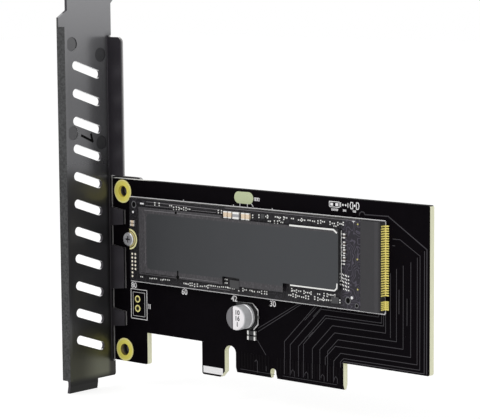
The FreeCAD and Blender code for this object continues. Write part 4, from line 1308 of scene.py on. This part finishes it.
    def draw_tracks(self) -> None:
        """Lay the nested tracks from the long contacts round the drive's socket."""
        layer = Layer("board_tracks", 0.0, self.track_height)
        for contact, turn, level, far, end in self.fingers:
            layer.line([(contact, self.track_foot), (contact, turn), (contact + level - turn, level),
                        (far, level), (far, end)], self.track)
        for width, corners in self.paths:
            layer.line(corners, width)
        for start, low, high in self.slants:
            layer.line([(start, low), (start + (high - low) * self.slant_lean, high)], self.track)
        layer.deliver(TRACK_MASK, Slot.MASK)

    def draw_contact_tracks(self) -> None:
        """Lay the tracks and short hooks that start on the masked contacts."""
        layer = Layer("contact_tracks", self.contact_face, 0.02)
        for along in (self.first_contact, *(finger[0] for finger in self.fingers)):
            layer.bar((along, self.contact_start), (along, self.track_foot), self.track)
        for along in self.hooks:
            layer.line([(along + shift, up) for shift, up in self.hook_shape], self.hook_line)
        layer.line(self.short_hook, self.short_hook_line)
        layer.bars(self.contact_lines)
        layer.deliver(TRACK_MASK, Slot.MASK)

    def lay_window(self) -> None:
        """Leave a bare window with round ends above the drive."""
        layer = Layer("bare_window", 0.0, 0.02)
        layer.pill(*self.window)
        layer.deliver(BARE_WINDOW, Slot.MASK)

    def build(self) -> None:
        """Dress the board and add what is printed and etched on it."""
        self.dress()
        self.draw_outlines()
        self.draw_footprints()
        self.draw_numbers()
        self.draw_tracks()
        self.draw_contact_tracks()
        self.lay_window()


@dataclass
class Bracket:
    """Folded slot bracket with its stamped mark."""

    strokes: tuple[tuple[Spot, Spot], ...] = (((10.7, 59.15), (6.75, 57.35)), ((6.7, 57.3), (7.3, 59.3)))
    stroke_width: float = 0.62
    stroke_overrun: float = 0.6
    stroke_heights: Spot = (0.06, 0.08)

    def stamp(self) -> None:
        """Stamp a plain figure one, lying on its side, on the inner side of the plate."""
        deselect()
        bpy.ops.object.add(type="MESH", location=(0.0, 0.0, 0.0))
        piece = bpy.context.object
        bpy.ops.object.mode_set(mode="EDIT")
        for height, (start, end) in zip(self.stroke_heights, self.strokes):
            run, rise = end[0] - start[0], end[1] - start[1]
            length = math.hypot(run, rise) + self.stroke_width * self.stroke_overrun
            middle = CARD.point(BRACKET_FACE, (start[0] + end[0]) / 2, (start[1] + end[1]) / 2)
            bpy.ops.mesh.primitive_cube_add(
                size=MM, location=middle, rotation=(math.atan2(rise, -run), 0.0, 0.0),
                scale=(height, length, self.stroke_width))
        bpy.ops.object.mode_set(mode="OBJECT")
        deliver(piece, "bracket_mark", STAMP)

    def build(self) -> None:
        """Dress the bracket and stamp its plain mark."""
        dress(DarkPlate(), ["bracket"])
        self.stamp()


@dataclass
class Drive:
    """Solid-state drive on its post, with its label, chips and many small joints."""

    seed: int = 7
    tan: Colour = (0.78, 0.63, 0.46)
    bus_count: int = 4
    bus_length: float = 1.05
    # Painted highlights along the top and bottom edges of the label over the controller
    edge_highlights: tuple[tuple[float, tuple[Spot, ...]], ...] = (
        # Width, then corners
        (0.4, ((64.2, 39.75), (78.2, 39.75), (79.25, 39.0))),
        (0.34, ((64.4, 24.9), (78.5, 24.9), (79.2, 25.5), (79.25, 26.7))))
    nicks: tuple[Run, ...] = (
        ((26.3, 22.7), (26.3, 24.9), 0.45), ((25.8, 23.25), (26.8, 23.25), 0.7),
        ((25.5, 39.95), (26.2, 39.95), 0.7), ((13.0, 23.2), (26.0, 23.2), 0.12))
    creases: tuple[Run, ...] = (
        ((14.4, 39.85), (41.2, 39.85), 0.12), ((26.9, 23.3), (40.6, 23.3), 0.1),
        ((14.7, 25.6), (14.7, 38.2), 0.08))
    dot_columns: tuple[tuple[int, float], ...] = ((7, 8.95), (5, 10.1))
    dot_top: float = 27.75
    dot_pitch: float = 0.99
    dot: float = 0.62
    spots: tuple[tuple[Spot, float, int], ...] = (
        # Middle, diameter and number of sides
        ((9.45, 38.9), 0.65, 12), ((83.1, 23.5), 0.75, 12), ((12.9, 39.1), 0.35, 10))
    dash: tuple[Spot, Spot] = ((12.1, 41.15), (13.5, 41.55))
    cross: tuple[Run, ...] = (((83.2, 42.1), (84.1, 42.1), 0.12), ((83.65, 41.7), (83.65, 42.1), 0.12))
    rails: tuple[Run, ...] = (
        ((14.4, 41.95), (40.4, 41.7), 0.13), ((14.0, 41.0), (24.0, 41.0), 0.12),
        ((30.5, 40.9), (39.0, 40.9), 0.12), ((42.0, 42.3), (84.0, 42.3), 0.1),
        ((27.5, 21.4), (43.5, 21.4), 0.1))
    holes: tuple[tuple[Spot, float, float, float, float, int], ...] = (
        # Middle, width and height of the rim, width of its line, diameter of the hole, number of sides
        ((9.78, 40.9), 1.5, 1.7, 0.2, 1.25, 20), ((81.9, 22.7), 1.5, 1.7, 0.2, 1.25, 20),
        ((84.6, 21.7), 1.0, 1.0, 0.16, 0.8, 12))
    gold_spots: tuple[Spot, ...] = ((84.9, 41.5), (84.9, 25.7), (84.8, 33.0))
    gold_spot: float = 0.45
    pad_rows: tuple[tuple[float, float, float, float], ...] = (
        # Start, end, height, share of places that hold a part
        (16.0, 24.0, 41.6, 0.25), (24.3, 30.0, 41.0, 0.9), (56.2, 63.0, 41.3, 0.7), (57.0, 62.0, 40.1, 0.6),
        (64.5, 80.6, 41.2, 0.8), (69.5, 79.0, 40.5, 0.35), (12.4, 22.2, 21.9, 0.8), (27.3, 36.5, 21.6, 0.85),
        (36.8, 56.5, 22.0, 0.85), (64.2, 79.3, 23.5, 0.85), (63.6, 79.5, 22.2, 0.8))
    lone_parts: tuple[tuple[Spot, bool], ...] = (
        # Middle, and whether it stands upright
        ((51.5, 40.9), True), ((56.4, 41.2), True), ((60.3, 40.8), True), ((39.9, 41.25), True),
        ((41.0, 41.25), True), ((53.6, 41.1), True), ((42.4, 24.1), False), ((42.4, 23.2), False))
    pitches: tuple[float, ...] = (0.7, 0.85, 1.0, 1.4)
    row_stray: float = 0.12
    upright_share: float = 0.45
    array_columns: tuple[float, ...] = (79.9, 80.9, 81.9)
    array_rows: int = 5
    array_foot: float = 25.4
    array_pitch: float = 0.85
    array_lean: float = 0.2
    array_stray: float = 0.1
    array_share: float = 0.8
    comb: Run = ((79.9, 27.4), (79.9, 39.6), 0.1)
    comb_teeth: tuple[float, ...] = (38.8, 37.9, 36.35, 35.5, 34.4, 33.6, 32.3, 31.5)
    tooth: Spot = (80.5, 81.0)
    root: Spot = (80.0, 80.25)
    root_half: float = 0.13
    end_reach: float = 0.29
    end_half: float = 0.17
    chips: tuple[tuple[Spot, Spot], ...] = (((76.9, 21.6), (79.2, 23.2)), ((54.4, 40.6), (55.6, 41.7)))

    def dress(self) -> None:
        """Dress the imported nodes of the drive."""
        dress(ModuleMask(), ["module_board"])
        dress(LandFinish(), ["module_screw_land"])
        dress(GoldPlate("land_gold", (0.80, 0.68, 0.22), 0.3), ["module_contacts"])
        dress(ScrewFinish(), ["module_screw"])
        dress(BrightSteel("post_steel", (0.035, 0.034, 0.036), 0.4), ["module_post"])
        dress(MouldedResin(), ["first_memory", "second_memory", "cache_memory", "controller"])
        dress(MouldedResin("regulator_resin", (0.05, 0.05, 0.052), 0.2), ["power_regulator"])
        dress(LabelFilm(), ["module_label"])

    def dress_ceramics(self) -> None:
        """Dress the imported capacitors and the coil, with tin where each one ends."""
        low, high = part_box("first_tall_capacitors")
        middle, half = (low[2] + high[2]) / 2 / MM, (high[2] - low[2]) / 2 / MM
        dress(ChipCeramic("tall_ceramic", self.tan, (middle,), half - 0.3),
              ["first_tall_capacitors", "second_tall_capacitors"])
        dress(ChipCeramic("coil_ferrite", (0.36, 0.36, 0.37), (middle,), half - 0.5), ["power_coil"])
        low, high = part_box("end_capacitors")
        middle = (low[0] + high[0]) / 2 - CARD.edge
        dress(ChipCeramic("end_ceramic", self.tan, (middle / MM,), 0.5, upright=False), ["end_capacitors"])
        low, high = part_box("bus_capacitors")
        foot, top = low[2] / MM + self.bus_length / 2, high[2] / MM - self.bus_length / 2
        pitch = (top - foot) / (self.bus_count - 1)
        centres = tuple(foot + k * pitch for k in range(self.bus_count))
        dress(ChipCeramic("bus_ceramic", (0.10, 0.08, 0.07), centres, 0.26), ["bus_capacitors"])

    def add_label_marks(self, face: float) -> None:
        """Lay the painted highlights along the label's edges over the controller, the nicks and the creases
        of the label.

        Args:
            face: How far the label's face stands out.
        """
        # Painted highlights along the label's edges over the controller
        layer = Layer("label_edge_highlights", face, 0.05)
        for width, corners in self.edge_highlights:
            layer.line(corners, width)
        layer.deliver(TIN, Slot.LABEL)
        marks = (("label_nicks", self.nicks, STAMP), ("label_creases", self.creases, GREY_INK))
        for name, runs, finish in marks:
            layer = Layer(name, face, 0.02)
            layer.bars(runs)
            layer.deliver(finish, Slot.LABEL)

    def add_dots(self, face: float) -> None:
        """Add the test dots, the white marks and the pale rails.

        Args:
            face: How far the drive board's face stands out.
        """
        layer = Layer("drive_dots", face, 0.03)
        for count, along in self.dot_columns:
            for k in range(count):
                layer.disc((along, self.dot_top - k * self.dot_pitch), self.dot, 10)
        layer.deliver(DOT_INK, Slot.MODULE)
        layer = Layer("drive_spots", face, 0.03)
        for spot, width, sides in self.spots:
            layer.disc(spot, width, sides)
        layer.block(*self.dash)
        layer.bars(self.cross)
        layer.deliver(WHITE_INK, Slot.MODULE)
        layer = Layer("drive_rails", face, 0.02)
        layer.bars(self.rails)
        layer.deliver(GREY_INK, Slot.MODULE)

    def add_holes(self, face: float) -> None:
        """Add the rimmed holes and the gold spots.

        Args:
            face: How far the drive board's face stands out.
        """
        layer = Layer("drive_hole_rims", face, 0.02)
        for spot, across, tall, line, _, sides in self.holes:
            layer.hoop(spot, across, tall, line, sides)
        layer.deliver(HOLE_RIM, Slot.MODULE)
        layer = Layer("drive_holes", face, 0.02)
        for spot, _, _, _, width, sides in self.holes:
            layer.disc(spot, width, sides)
        layer.deliver(STAMP, Slot.MODULE)
        layer = Layer("drive_gold_spots", face, 0.03)
        for spot in self.gold_spots:
            layer.disc(spot, self.gold_spot, 10)
        layer.deliver(GoldPlate("spot_gold", (0.5, 0.45, 0.15), 0.35), Slot.GOLD)

    def place_parts(self) -> list[tuple[Spot, bool]]:
        """Choose where the smallest two-ended parts stand and which of them stand upright.

        Returns:
            Their middles, along and up, with whether each is upright.
        """
        dice = random.Random(self.seed)
        parts = list(self.lone_parts)
        for start, stop, up, share in self.pad_rows:
            along = start
            while along < stop:
                if dice.random() < share:
                    spot = (along, up + dice.uniform(-self.row_stray, self.row_stray))
                    parts.append((spot, dice.random() < self.upright_share))
                along += dice.choice(self.pitches)
        for column in self.array_columns:
            for k in range(self.array_rows):
                if dice.random() < self.array_share:
                    along = column + dice.uniform(-self.array_stray, self.array_stray)
                    lean = (column - self.array_columns[1]) * self.array_lean
                    parts.append(((along, self.array_foot + k * self.array_pitch - lean), False))
        return parts

    def add_joints(self, face: float) -> None:
        """Model the smallest parts: a dark body between two soldered ends each.

        Args:
            face: How far the drive board's face stands out.
        """
        parts = self.place_parts()
        half = self.end_half
        ends = Layer("drive_solder_joints", face, 0.14)
        for (along, up), upright in parts:
            for side in (-self.end_reach, self.end_reach):
                spot = (along, up + side) if upright else (along + side, up)
                ends.block((spot[0] - half, spot[1] - half), (spot[0] + half, spot[1] + half))
        ends.bar(*self.comb)
        for up in self.comb_teeth:
            ends.block((self.tooth[0], up - half), (self.tooth[1], up + half))
            ends.block((self.root[0], up - self.root_half), (self.root[1], up + self.root_half))
        ends.soften(0.03)
        ends.deliver(TIN, Slot.MODULE)
        bodies = Layer("drive_small_chips", face, 0.2)
        for (along, up), upright in parts:
            reach = (0.14, 0.12) if upright else (0.12, 0.14)
            bodies.block((along - reach[0], up - reach[1]), (along + reach[0], up + reach[1]))
        bodies.soften(0.03)
        bodies.deliver(MouldedResin("chip_body", (0.03, 0.026, 0.024)), Slot.RESIN)
        chips = Layer("drive_controllers", face, 0.35)
        for low, high in self.chips:
            chips.block(low, high)
        chips.soften(0.05)
        chips.deliver(MouldedResin("regulator_resin_two", (0.05, 0.05, 0.052), 0.2), Slot.RESIN)

    def build(self) -> None:
        """Dress the drive and add its marks and small parts."""
        self.dress()
        self.dress_ceramics()
        self.add_label_marks(CARD.out_of("module_label"))
        face = CARD.out_of("module_board")
        self.add_dots(face)
        self.add_holes(face)
        self.add_joints(face)


@dataclass
class EdgeSocket:
    """Moulded socket with its two rows of gold tails."""

    line_runs: tuple[Run, ...] = (((91.9, 21.25), (91.9, 23.3), 0.45), ((91.9, 24.65), (91.9, 41.55), 0.45))
    line_height: float = 0.215

    def draw_line(self) -> None:
        """Lay the outline's run between the tails, yellow with their gold."""
        layer = Layer("tail_line", 0.0, self.line_height)
        layer.bars(self.line_runs)
        layer.deliver(Ink("gilded_line", (1.0, 0.90, 0.40), 0.4), Slot.GOLD)

    def build(self) -> None:
        """Dress the socket and its tails."""
        self.draw_line()
        dress(MouldedResin("socket_resin", (0.029, 0.028, 0.031), 0.15, (90.2, 91.2)), ["socket_housing"])
        dress(GoldPlate("tail_gold", (1.0, 0.88, 0.26), 0.32, 0.05), ["socket_tails"])


@dataclass
class Capacitor:
    """Electrolytic capacitor on its base, with plain numbers on its end."""

    number_along: float = 48.75
    number_rows: tuple[tuple[str, float], ...] = (("10", 16.6), ("16", 15.1), ("1", 13.6))
    number_height: float = 1.15

    def build(self) -> None:
        """Dress the capacitor and print its end."""
        dress(CanFinish(), ["capacitor_can"])
        dress(MouldedResin("base_resin", (0.012, 0.012, 0.013), 0.2), ["capacitor_base"])
        dress(BrightSteel("tinned_lead", (0.7, 0.7, 0.7), 0.3), ["capacitor_leads"])
        face = CARD.out_of("capacitor_can")
        rows = [Figure(text, CARD.point(self.number_along, face, up), self.number_height, bold=0.045).build()
                for text, up in self.number_rows]
        deliver(join(rows), "capacitor_numbers", DARK_INK)


def seen_straight(tree: bpy.types.NodeTree) -> bpy.types.NodeSocket:
    """Tell rays from the camera or off a shiny surface from all other rays.

    Args:
        tree: Node tree that the nodes go into.

    Returns:
        One for those rays, nought for the rest.
    """
    rays = tree.nodes.new("ShaderNodeLightPath")
    seen = tree.nodes.new("ShaderNodeMath")
    seen.operation = "MAXIMUM"
    tree.links.new(rays.outputs["Is Camera Ray"], seen.inputs[0])
    tree.links.new(rays.outputs["Is Glossy Ray"], seen.inputs[1])
    return seen.outputs[0]


@dataclass(frozen=True)
class Lamp:
    """Soft square lamp: its place round the card in degrees, its width in metres, its power in watts."""

    name: str
    azimuth: float
    elevation: float
    size: float
    power: float

    def place(self, target: Vector, distance: float) -> None:
        """Hang the lamp and aim it.

        Args:
            target: Point that it shines at.
            distance: How far from that point it hangs, in metres.
        """
        turn, rise = math.radians(self.azimuth), math.radians(self.elevation)
        way = Vector((math.sin(turn) * math.cos(rise), -math.cos(turn) * math.cos(rise), math.sin(rise)))
        light = bpy.data.lights.new(self.name, "AREA")
        light.size = self.size
        light.energy = self.power
        holder = bpy.data.objects.new(self.name, light)
        bpy.context.scene.collection.objects.link(holder)
        holder.location = target + way * distance
        holder.rotation_euler = way.to_track_quat("Z", "Y").to_euler()


@dataclass
class Studio:
    """Pale floor, soft lights and the camera."""

    target: Vector = field(default_factory=lambda: CARD.point(50.0, 0.0, 40.0))
    azimuth: float = 41.3826
    elevation: float = 7.0093
    roll: float = -0.3932
    distance: float = 523.258
    sensor: float = 36.0
    lens: float = 156.36
    shift: Spot = (-0.0280, 0.0192)
    nearest: float = 0.01
    floor_size: float = 4.0
    floor_drop: float = 0.05
    floor_tone: float = 0.86
    floor_glow: float = 1.27
    glow_share: float = 0.65
    world_light: float = 0.62
    lamps: tuple[Lamp, ...] = (Lamp("key", -20.0, 45.0, 0.5, 2.2), Lamp("fill", 70.0, 25.0, 0.6, 1.0))
    lamp_distance: float = 0.8

    def floor_paint(self) -> bpy.types.Material:
        """Mix a pale matt paint with a glow that only the camera and shiny surfaces see.

        Returns:
            The floor's material.
        """
        paint = bpy.data.materials.new("pale_floor")
        paint.use_nodes = True
        tree = paint.node_tree
        surface = tree.nodes["Principled BSDF"]
        surface.inputs["Base Color"].default_value = (self.floor_tone, self.floor_tone, self.floor_tone, 1.0)
        surface.inputs["Roughness"].default_value = 0.9
        surface.inputs["Specular IOR Level"].default_value = 0.1
        glow = tree.nodes.new("ShaderNodeEmission")
        glow.inputs["Strength"].default_value = self.floor_glow
        share = tree.nodes.new("ShaderNodeMath")
        share.operation = "MULTIPLY"
        share.inputs[1].default_value = self.glow_share
        tree.links.new(seen_straight(tree), share.inputs[0])
        blend = tree.nodes.new("ShaderNodeMixShader")
        for start, end in zip((share, surface, glow), blend.inputs):
            tree.links.new(start.outputs[0], end)
        tree.links.new(blend.outputs[0], tree.nodes["Material Output"].inputs["Surface"])
        return paint

    def add_floor(self) -> None:
        """Add a wide floor just under the bracket's tip: white to the eye, with a faint shadow."""
        deselect()
        height = CAD_BOX[0][2] - self.floor_drop * MM
        bpy.ops.mesh.primitive_plane_add(size=self.floor_size, location=(0.0, 0.0, height))
        floor = bpy.context.object
        floor.name = "floor"
        floor.data.materials.append(self.floor_paint())

    def add_world(self) -> None:
        """Surround the card with even white, a little weaker as a light than as a sight."""
        world = bpy.data.worlds.new("studio")
        bpy.context.scene.world = world
        world.use_nodes = True
        tree = world.node_tree
        level = tree.nodes.new("ShaderNodeMapRange")
        level.inputs["To Min"].default_value = self.world_light
        level.inputs["To Max"].default_value = 1.0
        tree.links.new(seen_straight(tree), level.inputs["Value"])
        back = tree.nodes["Background"]
        back.inputs["Color"].default_value = (1.0, 1.0, 1.0, 1.0)
        tree.links.new(level.outputs[0], back.inputs["Strength"])

    def add_camera(self) -> None:
        """Set up the camera at its angle, distance and framing."""
        turn, rise, roll = (math.radians(angle) for angle in (self.azimuth, self.elevation, self.roll))
        ahead = Vector((-math.sin(turn) * math.cos(rise), math.cos(turn) * math.cos(rise), -math.sin(rise)))
        right = Vector((math.cos(turn), math.sin(turn), 0.0))
        above = right.cross(ahead)
        side = right * math.cos(roll) + above * math.sin(roll)
        top = above * math.cos(roll) - right * math.sin(roll)
        view = bpy.data.cameras.new("camera")
        view.sensor_width = self.sensor
        view.lens = self.lens
        view.shift_x, view.shift_y = self.shift
        view.clip_start = self.nearest
        camera = bpy.data.objects.new("camera", view)
        bpy.context.scene.collection.objects.link(camera)
        axes = Matrix((side, top, -ahead)).transposed().to_4x4()
        camera.matrix_world = Matrix.Translation(self.target - ahead * self.distance * MM) @ axes
        bpy.context.scene.camera = camera

    def build(self) -> None:
        """Set the stage."""
        bpy.context.scene.view_settings.view_transform = "Standard"
        self.add_camera()
        self.add_floor()
        self.add_world()
        for lamp in self.lamps:
            lamp.place(self.target, self.lamp_distance)


def main() -> None:
    """Build the studio and the card's sub-assemblies in order."""
    logging.basicConfig(level=logging.INFO, format="%(name)s: %(message)s")
    for part in (Studio(), Board(), Bracket(), Drive(), EdgeSocket(), Capacitor()):
        part.build()
    dress(ChipCeramic("chip_resistor", (0.02, 0.02, 0.022), (49.35,), 0.85, upright=False),
          ["board_resistors"])


if __name__ == "__main__":
    main()
